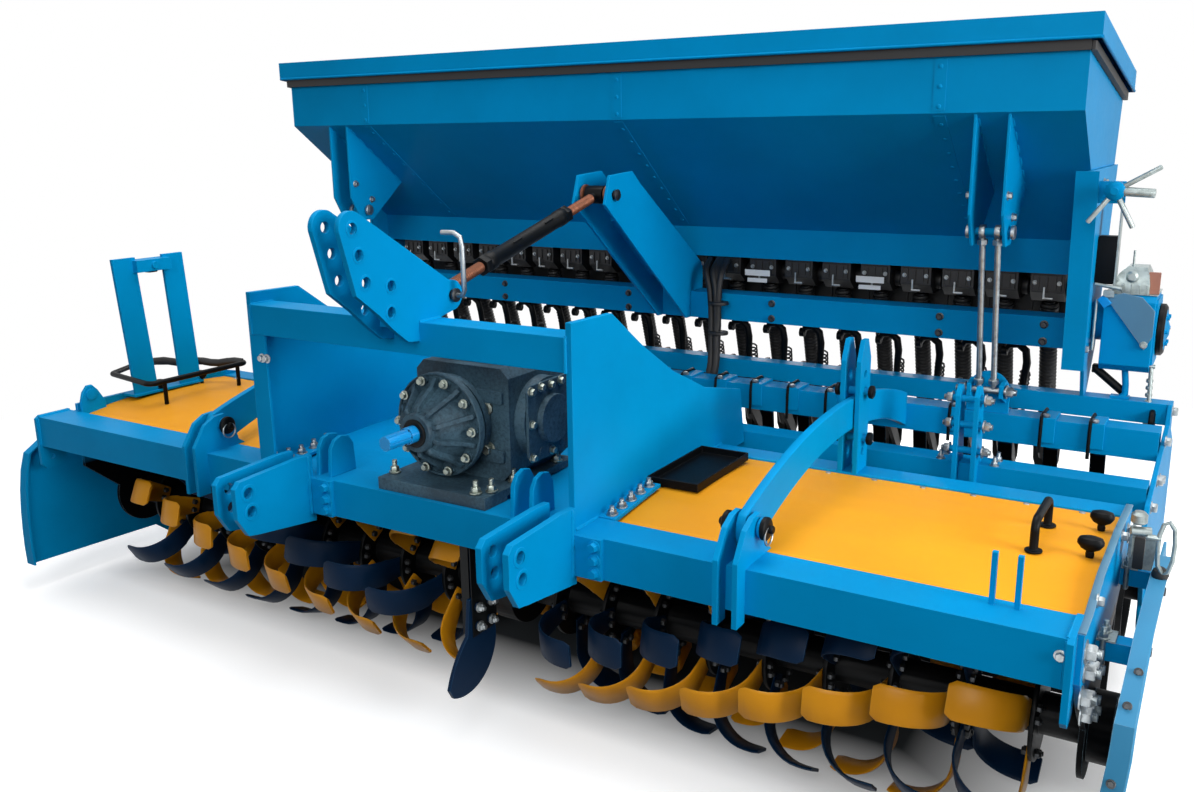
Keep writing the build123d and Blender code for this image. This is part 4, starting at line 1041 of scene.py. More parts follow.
@dataclass
class Gearbox(Assembly):
    """Ribbed bell gearbox with its bolts, plugs and foot studs."""

    x: float = 70.0
    shaft: float = 171.0
    bell_station: float = 85.0
    front_face: float = 139.5
    side_face: float = 213.0
    foot_top: float = 34.5
    lid_top: float = 331.6
    bolt_circle: float = 116.0
    ribs: int = 10

    def bolts(self) -> None:
        """Bolt the bell, the side cover and the foot."""
        bolts = Sketch()
        for a in turns(self.ribs):
            bolts.bolt(self.at(self.x + self.bolt_circle * math.cos(a), self.bell_station - 18,
                               self.shaft + self.bolt_circle * math.sin(a)), AHEAD, 8.8)
        self.bolt_up(bolts, [(self.x + self.side_face, s, h) for s, h in (
            (180, 90), (180, 175), (180, 258), (265, 90), (265, 260), (350, 90), (350, 175), (350, 258),
            (222, 262), (308, 262))], RIGHT, 9.2)
        self.bolt_up(bolts, [(self.x + dx, s, self.foot_top) for dx, s in (
            (-135, 60), (-135, 340), (175, 150), (175, 60), (150, 30), (175, 340))], UP, 11.5, 16)
        self.piece(bolts, "gearbox_bolts", Finish.DULL_ZINC)

    def plugs(self) -> None:
        """Set the breather on the lid and two plugs in the front."""
        plugs = Sketch()
        plugs.lathe(self.at(self.x + 20, 265, self.lid_top), UP,
                    [(20, 0), (20, 8), (14, 10), (14, 20), (18, 22), (18, 34), (10, 40)], 24)
        plugs.bolt(self.at(self.x + 110, self.front_face, 110), AHEAD, 14)
        plugs.lathe(self.at(self.x + 110, self.front_face, 215), AHEAD,
                    [(17, 0), (17, 6), (11, 8), (11, 3)], 24)
        self.piece(plugs, "gearbox_plugs", Finish.DULL_ZINC)

    def casting(self) -> None:
        """Draw the lifting lug, side cover, pads, rims, ribs and nose ring that are cast on."""
        cast = Sketch()
        cast.tube([self.at(self.x + 30 + 34 * math.cos(t), 300, 330 + 34 * math.sin(t))
                   for t in [math.pi * k / 12 for k in range(13)]], 8, 12)
        cover = [(182, 76), (348, 76), (364, 92), (364, 258), (348, 274), (182, 274), (166, 258), (166, 92)]
        cast.plate(self.side_on(self.x + 205.4, cover), RIGHT * 0.0078, 1.5)
        for h in (96, 246):
            self.box(cast, (self.x + 40, 131, h - 16), (self.x + 160, 141, h + 16), 4)
        cast.lathe(self.at(self.x, 132, self.shaft), AHEAD, [(120, -6), (122, 0), (119, 14)], 48)
        cast.lathe(self.at(self.x, 84.5, self.shaft), AHEAD,
                   [(131.5, -13), (131.5, 4), (129, 6), (126, 4), (125.5, -2)], 64, capped=False)
        rib = ((44, 16), (50, 2), (62, 3), (104, 62), (121, 76), (121, 88), (88, 88))
        for a in turns(self.ribs, 180 / self.ribs):
            out, side = Vector((math.cos(a), 0, math.sin(a))), Vector((-math.sin(a), 0, math.cos(a)))
            cast.plate([self.at(self.x, s, self.shaft) + out * (r / 1000) - side * 0.0055 for r, s in rib],
                       side * 0.011, 2)
        cast.lathe(self.at(self.x, -7.5, self.shaft), AHEAD,
                   [(46, -24), (49, -22), (49, -4), (46, 1), (36, 1)], 48, capped=False)
        self.piece(cast, "gearbox_casting_details", Finish.SLATE)

    def build(self) -> None:
        """Build the gearbox's fittings."""
        self.bolts()
        self.plugs()
        self.casting()
        seal = Sketch()
        seal.lathe(self.at(self.x, -8, self.shaft), AHEAD,
                   [(22, -2), (35, -2), (35, 3), (32, 6), (22.5, 6)], 36, capped=False)
        self.piece(seal, "shaft_seal", Finish.BLACK)


@dataclass
class Hitch(Assembly):
    """Three-point hitch: fork rings and bolts, the turnbuckle and the upper pin's handle."""

    top_x: float = 40.0
    drive_x: float = 70.0
    span: float = 825.0
    fork: float = 70.0
    link_front: tuple[float, float] = (138.0, 490.0)
    link_rear: tuple[float, float] = (890.0, 690.0)

    def along(self, share: float) -> Vector:
        """Give the point that far along the turnbuckle, from 0 at the front pin to 1 at the rear."""
        return self.at(self.top_x, *self.link_front).lerp(self.at(self.top_x, *self.link_rear), share)

    def thread(self, sketch: Sketch, start: Vector, end: Vector, radius: float) -> None:
        """Cut a coarse round thread between two points.

        Args:
            sketch: Mesh that gets the thread.
            start: Where it begins.
            end: Where it ends.
            radius: Outer radius.
        """
        length = (end - start).length * 1000
        pitch = 7.0     # real pitch is 3 mm; drawn coarser so that it shows
        steps = int(length / pitch * 2)
        profile = [(radius * (1.0 if k % 2 else 0.86), length * k / steps) for k in range(steps + 1)]
        sketch.lathe(start, end - start, profile, 20)

    def turnbuckle(self) -> None:
        """Build the turnbuckle round the plain link."""
        rusty, sleeve = Sketch(), Sketch()
        self.thread(rusty, self.along(0.05), self.along(0.27), 15)
        self.thread(rusty, self.along(0.74), self.along(0.95), 15)
        self.piece(rusty, "turnbuckle_threads", Finish.RUST)
        axis = self.along(1) - self.along(0)
        for share in (0.233, 0.743):
            sleeve.lathe(self.along(share), axis, [(26, 0), (27, 2), (27, 20), (26, 22)], 6)
        sleeve.lathe(self.along(0.262), axis,
                     [(22.5, 0), (24.5, 4), (24.5, 30), (22.5, 34), (22.2, 345),
                      (24.5, 349), (24.5, 375), (22.5, 379)], 28)
        skin = Vector((0.016, 0, 0.018))
        for share in (0.40, 0.60):
            sleeve.weld(self.along(share) + skin, self.along(share + 0.05) + skin, 3.5)
        self.piece(sleeve, "turnbuckle_sleeve", Finish.BLACK)
        eyes = Sketch()
        for (s, h), half in ((self.link_front, 34), (self.link_rear, 44)):
            for side in (-1, 1):
                x = self.top_x + side * half
                eyes.lathe(self.at(x - side * 8, s, h), Vector((side, 0, 0)),
                           [(28, 0), (30, 1), (30, 7), (28, 8)], 28)
        self.piece(eyes, "turnbuckle_eye_washers", Finish.RUST)

    def pin_handle(self) -> None:
        """Bend the bright rod that the upper pin is pulled by."""
        x, (s, h) = self.top_x + 62, self.link_front
        rod = Sketch()
        bend = [(x - 4, s, h), (x + 16, s - 2, h), (x + 24, s - 2, h + 14), (x + 24, s - 4, h + 120),
                (x + 20, s - 5, h + 142), (x + 2, s - 6, h + 152), (x - 34, s - 8, h + 152)]
        rod.tube(self.path(bend), 6.2, 14)
        self.piece(rod, "upper_pin_handle", Finish.ZINC)

    def fork_fittings(self) -> None:
        """Put rings round the fork holes, welds at the fork roots and bolts beside them."""
        boss, bolts = Sketch(), Sketch()
        ring = [(14.8, -0.6), (22.5, -0.6), (22.5, 1.2), (21.5, 2), (14.8, 2)]
        for mid in (self.drive_x - self.span / 2, self.drive_x + self.span / 2):
            for side in (-1, 1):
                x = mid + side * (self.fork / 2 + 8)
                for s, h in ((-213, 18), (-208, -32)):
                    boss.lathe(self.at(x, s, h), Vector((side, 0, 0)), ring, 28, capped=False)
                boss.weld(self.at(x - side, -14, -100), self.at(x - side, -14, 58), 5.5)
            self.bolt_up(bolts, [(mid + dx, -12, h) for dx in (-98, 98) for h in (-80, -50, -18)],
                         AHEAD, 11.5)
        self.piece(boss, "fork_rings_and_welds", Finish.BLUE)
        self.piece(bolts, "fork_root_bolts", Finish.BLUE)

    def top_fittings(self) -> None:
        """Put rings round the upper holes, welds at the foot and heads on the link's pins."""
        rings, pins = Sketch(), Sketch()
        ring = [(13.2, -0.6), (18.5, -0.6), (18.5, 1), (13.2, 1.8)]
        for side in (-1, 1):
            x = self.top_x + side * 47
            for s, h in ((-188, 677), (-173, 618), (-157, 556), (-77, 539), (-82, 479)):
                rings.lathe(self.at(x, s, h), Vector((side, 0, 0)), ring, 24, capped=False)
            rings.weld(self.at(x, 12, 441), self.at(x, 88, 441), 6)
        self.piece(rings, "top_hitch_rings", Finish.BLUE)
        for s, h, half in ((*self.link_front, 58), (*self.link_rear, 71)):
            for side in (-1, 1):
                pins.lathe(self.at(self.top_x + side * half, s, h), Vector((side, 0, 0)),
                           [(12.5, -4), (17, -3), (17, 2), (12.5, 4)], 24)
        self.piece(pins, "top_link_pin_heads", Finish.DULL_BOLT)

    def build(self) -> None:
        """Build the hitch's fittings."""
        self.turnbuckle()
        self.pin_handle()
        self.fork_fittings()
        self.top_fittings()


@dataclass
class Frame(Assembly):
    """Welds, bolted angles, lugs and pins of the main frame."""

    plate_x: float = 507.0
    plate_half: float = 8.0
    beam_half: float = 1550.0
    arm_mids: tuple[float, float] = (-750.0, 910.0)
    arm_pin: tuple[float, float] = (65.0, 70.0)

    def welds(self) -> None:
        """Run weld beads where the plates meet the beams."""
        beads = Sketch()
        for side in (-1, 1):
            inner, outer = side * (self.plate_x - self.plate_half), side * (self.plate_x + self.plate_half)
            for x in (inner, outer):
                beads.weld(self.at(x, 14, 1), self.at(x, 108, 1), 5.2)
                beads.weld(self.at(x, 702, 6), self.at(x, 779, 6), 5.2)
            end = side * self.beam_half
            for x, a, b in ((inner, (11, 361), (11, 441)), (inner, (11, 441), (89, 441)),
                            (inner, (11, 363), (89, 363)), (end, (2, 0), (106, 0)), (end, (0, -4), (0, -94))):
                beads.weld(self.at(x, *a), self.at(x, *b), 5)
        self.piece(beads, "frame_weld_beads", Finish.BLUE)

    def foot_flanges(self) -> None:
        """Bolt an angle along the foot of each centre plate and weld four gussets to the beam."""
        angle, bolts = Sketch(), Sketch()
        thick, gap = 9.0, 0.2
        sole = UP * (thick / 1000)
        for side in (-1, 1):
            x0 = side * (self.plate_x + self.plate_half + gap)
            low, high = sorted((x0, x0 + side * 46))
            foot = ((low, 112, -6), (high, 112, -6), (high, 330, 16), (low, 330, 16))
            angle.plate(self.path(foot), sole, 1)
            stations = [132 + 44 * k for k in range(5)]
            self.bolt_up(bolts, [(x0 + side * 26, s, -6 + 22 * (s - 112) / 218 + thick) for s in stations],
                         Vector((0, -0.1, 1)), 10.5, 8)
        x0, x1 = -(self.plate_x - self.plate_half - gap), -(self.plate_x - 54)
        angle.plate(self.path(((x0, 112, -6), (x1, 112, -6), (x1, 240, 7), (x0, 240, 7))), sole, 1)
        self.box(angle, (x0, 14, -0.4), (x1, 108, 7), 1)
        self.bolt_up(bolts, [(x0 + 22, s, h) for s, h in ((34, 7), (80, 7), (126, 4), (174, 9), (222, 14))],
                     Vector((0, -0.05, 1)), 11.5, 10)
        gusset = ((16, -0.4), (108, -0.4), (104, 74), (88, 98), (62, 104), (38, 96), (22, 74))
        for x in (-305, -262, 330, 384):
            angle.plate(self.side_on(x, gusset), RIGHT * 0.012, 1.5)
        self.piece(angle, "foot_angles", Finish.BLUE)
        self.piece(bolts, "foot_angle_bolts", Finish.ZINC)

    def lugs(self) -> None:
        """Add the lug at the left end, small bolts, the foot bracket's plates and the portal's block."""
        lug = Sketch()
        profile = [(112, -14), (112, 30), (122, 62), (140, 82), (158, 82), (176, 62), (200, 20), (200, -8)]
        lug.plate(self.side_on(-1496, profile), RIGHT * 0.012, 2)
        lug.lathe(self.at(-1484, 150, 52), RIGHT, [(18, -1), (18, 5), (10, 6)], 20)
        self.piece(lug, "left_end_lug", Finish.BLUE)
        small = Sketch()
        self.bolt_up(small, [(x, 12.5, 300) for x in (-470, -452)], AHEAD, 9)
        self.bolt_up(small, [(219.2, s, h) for s, h in ((26, -262), (74, -262), (26, -312), (74, -312))],
                     RIGHT, 9.8, 5)
        self.piece(small, "frame_small_bolts", Finish.ZINC)
        shoe = Sketch()
        self.box(shoe, (178, 9.6, -336), (202, 12, -101), 0.8)
        shoe.plate(self.side_on(210.2, ((6, -100.5), (102, -100.5), (102, -318), (84, -338), (6, -338))),
                   RIGHT * 0.0022, 0.6)
        self.box(shoe, (-1464, 382, 430), (-1434, 416, 462), 3)
        self.piece(shoe, "foot_bracket_plates", Finish.BLACK)

    def arms(self) -> None:
        """Cap the pins of the depth arms and of the posts behind them, and clip the arms' pins."""
        black, clips = Sketch(), Sketch()
        for x_mid in self.arm_mids:
            for side in (-1, 1):
                black.lathe(self.at(x_mid + side * 41, *self.arm_pin), Vector((side, 0, 0)),
                            [(23, -4), (25, -2), (25, 6), (20, 10), (9, 11), (9, 18), (7, 20)], 28)
                for h in (216, 92):
                    black.lathe(self.at(x_mid + side * 42, 740, h), Vector((side, 0, 0)),
                                [(15, -4), (17, -2), (17, 6), (14, 8)], 22)
            centre = self.at(x_mid + 50, *self.arm_pin)
            ring = [centre + Vector((0, 0.021 * math.cos(t), 0.021 * math.sin(t) - 0.014)) for t in turns(24)]
            clips.tube(ring, 2.2, 8, closed=True)
        self.piece(black, "arm_pin_caps", Finish.BLACK)
        self.piece(clips, "arm_pin_clips", Finish.ZINC)

    def build(self) -> None:
        """Build the frame's fittings."""
        self.welds()
        self.foot_flanges()
        self.lugs()
        self.arms()


@dataclass
class Deck(Assembly):
    """Screws and knobs of the yellow sheets and the hose on the guard loop."""

    front: float = 110.0
    rear: float = 700.0
    low_front: float = -14.0
    low_rear: float = 0.0
    crown: float = 18.0

    def top(self, station: float) -> float:
        """Work out the height of the crowned sheet.

        Args:
            station: Distance behind the front beam's face.

        Returns:
            Height of the sheet's top face.
        """
        t = (station - self.front) / (self.rear - self.front)
        return self.low_front + (self.low_rear - self.low_front) * t + 4 * self.crown * t * (1 - t)

    def knob(self, sketch: Sketch, x: float, station: float, long: float) -> None:
        """Draw one oval knob on its stem.

        Args:
            sketch: Mesh that gets the knob.
            x: X of its middle.
            station: Station of its middle.
            long: Half of its longer side.
        """
        base = self.top(station)
        profile = ((0.30, 0), (0.34, 8), (0.30, 14), (0.72, 20), (1.0, 30), (1.0, 36), (0.86, 43), (0.5, 46))
        wide = 0.66 * long
        sketch.loft([[self.at(x + long * share * math.cos(t), station + wide * share * math.sin(t), base + h)
                      for t in turns(28)] for share, h in profile])

    def build(self) -> None:
        """Build the deck's fittings."""
        knobs, screws = Sketch(), Sketch()
        for x, station, long in ((1533, 385, 26), (1533, 560, 25), (-1450, 390, 24), (-1450, 558, 24)):
            self.knob(knobs, x, station, long)
        self.piece(knobs, "deck_knobs", Finish.BLACK)
        for x0, x1 in ((-1480, -560), (560, 1540)):
            for k in range(8):
                x = x0 + (x1 - x0) * (k + 0.5) / 8
                for s in (124, 684):
                    screws.lathe(self.at(x, s, self.top(s) - 0.2), UP, [(7.5, 0), (7, 2.2), (4.5, 3.6)], 14)
        self.piece(screws, "deck_screws", Finish.ZINC)
        hose = Sketch()
        start, end = self.at(-1322, 640, 84), self.at(-1622, 470, 88)
        hose.tube([start.lerp(end, k / 12) + Vector((0, 0, 0.004 * math.sin(k * 1.4))) for k in range(13)],
                  13.5, 14)
        self.piece(hose, "loop_hose", Finish.HOSE)


@dataclass
class Hopper(Assembly):
    """Seams, rivets, painted shadow strip and weld stitches of the hopper, and the hem of its lid."""

    half: float = 1362.0
    front: float = 1011.0
    band: float = 909.0
    neck: float = 1480.0
    neck_top: float = 550.0
    lid_half: float = 1389.0
    lid_front: float = 984.0
    lid_low: float = 1074.0
    bracket_x: float = 1145.0
    rod_top: tuple[float, float] = (1092.0, 602.0)
    rod_foot: tuple[float, float] = (1182.0, 150.0)
    seams: tuple[float, ...] = (-1000.0, 40.0, 1010.0)
    rivet: tuple[tuple[float, float], ...] = ((6.2, 0), (5.6, 1.8), (3, 3))

    def slope(self, station: float) -> float:
        """Work out the height of the sloping front panel at a station."""
        return self.band + (self.neck_top - self.band) * (station - self.front) / (self.neck - self.front)

    def seam_strips(self) -> None:
        """Lay the lapped joints of the front sheets, with their rivets."""
        laps, rivets = Sketch(), Sketch()
        fall = Vector((0, self.neck - self.front, self.neck_top - self.band)).normalized()
        out = Vector((0, fall.z, -fall.y))
        for x in self.seams:
            low, high = [self.at(x - 16, s, self.slope(s)) for s in (self.neck - 12, self.front + 8)]
            wide = RIGHT * 0.032
            laps.plate([low, low + wide, high + wide, high], out * 0.0016, 0.4)
            self.panel(laps, (x - 16, x + 16), self.front, (self.band + 6, 1045), 1.6, 0.4)
            for k in range(9):
                s = self.front + 36 + 50 * k
                rivets.lathe(self.at(x, s, self.slope(s)) + out * 0.0014, out, self.rivet, 12)
            for h in (926, 976, 1026):
                rivets.lathe(self.at(x, self.front - 1.4, h), AHEAD, self.rivet, 12)
        self.piece(laps, "hopper_laps", Finish.BLUE)
        self.piece(rivets, "hopper_rivets", Finish.BLUE)

    def seal(self) -> None:
        """Run a black strip round the rim under the lid's lip, a painted shadow drawn as a rubber seal, and
        the hem round the lid's edge.
        """
        seal = Sketch()
        f, h0, h1 = self.front, 1049, 1073
        # painted shadow: the black strip sits on the band where the lid's lip casts its shadow, drawn as a
        # rubber seal
        self.box(seal, (-self.half - 3, f - 13, h0), (self.half + 3, f - 1, h1), 3)
        for side in (-1, 1):
            x0, x1 = sorted((side * (self.half + 1), side * (self.half + 14)))
            rim = [(f - 10, h0), (f - 10, h1 - 3), (1745, 969), (1745, 945)]
            seal.plate(self.side_on(x0, rim), RIGHT * ((x1 - x0) / 1000), 3)
        self.piece(seal, "hopper_rim_shadow_strip", Finish.HOSE)
        hem = Sketch()
        hem.rod(self.at(-self.lid_half + 2, self.lid_front + 1, self.lid_low + 3),
                self.at(self.lid_half - 2, self.lid_front + 1, self.lid_low + 3), 4.2, 12)
        for side in (-1, 1):
            hem.rod(self.at(side * (self.lid_half - 1), self.lid_front + 2, self.lid_low + 3),
                    self.at(side * (self.lid_half - 1), 1769, 972), 4.2, 12)
        self.piece(hem, "lid_hem", Finish.BLUE, body="lid")

    def brackets(self) -> None:
        """Stitch the brackets to the slope and cap the ends of their pins."""
        beads, pins, nuts = Sketch(), Sketch(), Sketch()
        for x_mid in (-self.bracket_x, self.bracket_x):
            for off in (-46.5, 46.5, -37.5, 37.5):
                for k in range(6):
                    s0 = 1030 + 44 * k
                    beads.weld(self.at(x_mid + off, s0, self.slope(s0)),
                               self.at(x_mid + off, s0 + 26, self.slope(s0 + 26)), 4)
            for side in (-1, 1):
                out = Vector((side, 0, 0))
                pins.lathe(self.at(x_mid + side * 54, *self.rod_top), out,
                           [(17, -2), (19, 0), (19, 7), (16, 9)], 24)
                nuts.bolt(self.at(x_mid + side * 56, *self.rod_foot), out, 15, stub=8)
                self.bolt_up(nuts, [(x_mid + side * 46, s, h) for s, h in ((1120, 640), (1040, 700))], out, 9)
            for off in (-20, 20):
                top, low = self.at(x_mid + off, *self.rod_top), self.at(x_mid + off, *self.rod_foot)
                run = (low - top).normalized()
                for share, way in ((0.045, run), (0.955, -run)):
                    nuts.lathe(top.lerp(low, share), way, [(13.5, 0), (14.5, 2), (14.5, 13), (12.5, 15)], 6)
        self.piece(beads, "bracket_weld_stitches", Finish.BLUE)
        self.piece(pins, "bracket_pin_caps", Finish.ZINC)
        self.piece(nuts, "link_rod_nuts", Finish.ZINC)

    def build(self) -> None:
        """Build the hopper's fittings."""
        self.seam_strips()
        # the painted shadow strip under the lid's lip, and the lid's hem
        self.seal()
        self.brackets()


@dataclass
class Drill(Assembly):
    """What hangs on the metering line: hatches, shutters, ribbed hoses, levers, springs and boots."""

    rows: int = 20
    pitch: float = 130.0
    face: float = 1492.0
    hose_r: float = 26.0
    hose_ribs: int = 34
    hose_top: tuple[float, float] = (1566.0, 352.0)
    hose_foot: tuple[float, float] = (1698.0, -52.0)
    coils: int = 14
    labelled: tuple[int, int] = (12, 15)    # rows that carry two blank white plates

    def places(self) -> list[float]:
        """List the X of every row."""
        return [(i - (self.rows - 1) / 2) * self.pitch for i in range(self.rows)]

    def units(self) -> None:
        """Dress the metering units' front faces."""
        hatch, metal, plates = Sketch(), Sketch(), Sketch()
        for i, x in enumerate(self.places()):
            self.panel(hatch, (x - 40, x + 40), self.face, (398, 444), 5, 1.2)
            for off in (-24, 0, 24):
                self.panel(hatch, (x + off - 2, x + off + 2), self.face - 5, (402, 440), 4)
            hatch.lathe(self.at(x + 49, 1560, 400), RIGHT, [(24, 0), (26, 3), (26, 18), (20, 22)], 20)
            self.bolt_up(metal, [(x + off, self.face - 5, 421) for off in (-34, 34)], AHEAD, 5.2)
            # shutter tab with its turned foot
            self.box(metal, (x - 8, self.face - 16, 378), (x - 3, self.face - 10, 410), 0.8)
            self.box(metal, (x - 8, self.face - 18, 374), (x + 20, self.face - 8, 379), 0.8)
            if i in self.labelled:
                for heights, wide in (((392, 412), 46), ((370, 384), 36)):
                    self.panel(plates, (x - 10 - wide, x - 10 + wide), self.face - 20, heights, 2, 0.6)
        self.piece(hatch, "metering_hatches", Finish.PLASTIC, slot="black_plastic")
        self.piece(metal, "metering_shutters", Finish.ZINC)
        self.piece(plates, "metering_plates", Finish.LABEL)

    def hoses(self) -> None:
        """Sleeve the seed tubes in ribbed hose and clamp them at the top."""
        hoses, clips = Sketch(), Sketch()
        for x in self.places():
            top, low = self.at(x, *self.hose_top), self.at(x, *self.hose_foot)
            axis = (low - top).normalized()
            step = (low - top).length * 1000 / self.hose_ribs
            profile = []
            for k in range(self.hose_ribs):
                profile += [(self.hose_r - 3, step * k), (self.hose_r, step * (k + 0.3)),
                            (self.hose_r, step * (k + 0.7))]
            hoses.lathe(top, axis, profile, 14)
            clips.lathe(top + axis * 0.012, axis, [(26.6, 0), (27.6, 1), (27.6, 10), (26.6, 11)], 18)
        self.piece(hoses, "seed_hoses", Finish.HOSE, smooth=50)
        self.piece(clips, "hose_clips", Finish.DULL_BOLT)

    def levers(self) -> None:
        """Hang a cranked lever and a coil spring in every space between two hoses."""
        bars, springs = Sketch(), Sketch()
        for x in self.places()[:-1]:
            mid = x + self.pitch / 2
            path = [(mid - 34, 1470, 214), (mid - 22, 1462, 232), (mid + 4, 1460, 236), (mid + 26, 1462, 218),
                    (mid + 30, 1470, 180), (mid + 22, 1490, 120), (mid + 14, 1516, 60), (mid - 22, 1560, -20)]
            bars.tube(self.path(path), [9, 11, 12, 12, 12, 11, 10, 8], 10)
            bars.lathe(self.at(mid - 44, 1470, 212), RIGHT, [(15, 0), (15, 16)], 18)
            top, low = self.at(mid + 18, 1530, 140), self.at(mid - 14, 1650, -70)
            run = low - top
            side = run.cross(RIGHT).normalized()
            other = run.normalized().cross(side)
            steps = self.coils * 8
            coil = []
            for k in range(steps + 1):
                a = 2 * math.pi * k / 8
                coil.append(top + run * (k / steps) + (side * math.cos(a) + other * math.sin(a)) * 0.014)
            springs.tube(coil, 3.2, 6)
        self.piece(bars, "coulter_levers", Finish.BLACK)
        self.piece(springs, "coulter_springs", Finish.DULL_BOLT)

    def tray(self) -> None:
        """Hang the black calibration tray behind the metering line, and a boot on every coulter."""
        tray, boots = Sketch(), Sketch()
        self.box(tray, (-1330, 1634, 262), (1330, 1640, 452), 2)
        self.box(tray, (-1330, 1634, 256), (1330, 1672, 262), 2)
        for x in self.places():
            self.box(tray, (x - 65, 1626, 300), (x - 59, 1634, 448), 1)
            flap = [(x + dx, s, h) for dx, s, h in ((-46, 1742, -52), (46, 1742, -52), (40, 1756, -200),
                                                    (22, 1764, -262), (-22, 1764, -262), (-40, 1756, -200))]
            boots.plate(self.path(flap), Vector((0, 0.008, 0)), 2)
            boots.lathe(self.at(x, 1706, -78), Vector((0, 0.3, -1)),
                        [(28, 0), (31, 6), (26, 50), (20, 110)], 16)
        self.piece(tray, "calibration_tray", Finish.PLASTIC, slot="black_plastic")
        self.piece(boots, "coulter_boots", Finish.PLASTIC, slot="black_plastic")

    def bundle(self) -> None:
        """Drop the bundle of black hoses that runs from the hopper's floor down behind the centre plate."""
        hoses, ties = Sketch(), Sketch()
        rng = random.Random(7)
        for k in range(6):
            dx, ds = rng.uniform(-20, 20), rng.uniform(-14, 14)
            path = [(150 + dx * 1.5 + 16 * k, 1470, 440), (170 + dx + 14 * k, 1400 + ds, 412),
                    (196 + dx + 9 * k, 1374 + ds, 352), (206 + dx + 7 * k, 1368 + ds, 262),
                    (212 + dx + 6 * k, 1356 + ds, 186), (218 + dx + 6 * k, 1338 + 0.6 * ds, 120),
                    (224 + dx + 6 * k, 1308 + 0.4 * ds, 74), (230 + dx + 6 * k, 1266, 42)]
            fine = smooth_line(self.path(path), 5)
            hoses.tube(fine, [10.5 + 0.6 * (i % 2) for i in range(len(fine))], 12)
        for s, h, x in ((1368, 300, 222), (1358, 200, 226)):
            ties.lathe(self.at(x, s, h), Vector((0, 0.05, 1)), [(31, 0), (33, 2), (33, 10), (31, 12)], 24)
        # gland where the hoses run into the middle tube of the roller frame
        self.box(ties, (196, 1279, 26), (298, 1291, 78), 3)
        self.piece(hoses, "drill_hoses", Finish.HOSE, smooth=60)
        self.piece(ties, "hose_ties", Finish.PLASTIC)

    def arm_bolts(self) -> None:
        """Bolt the coulters' arms and shoes, and the bar that carries them."""
        bolts = Sketch()
        for x in self.places():
            self.bolt_up(bolts, ((x + 36, 1478, 98), (x + 36, 1724, -120), (x + 24, 1752, -300)), RIGHT, 8)
        self.bolt_up(bolts, [(x, 1400, h) for x in (-1250, -700, -150, 400, 950, 1250) for h in (262, 312)],
                     AHEAD, 9)
        self.piece(bolts, "coulter_bolts", Finish.DULL_BOLT)

    def build(self) -> None:
        """Build the drill's fittings."""
        self.units()
        self.hoses()
        self.tray()
        self.bundle()
        self.levers()
        self.arm_bolts()


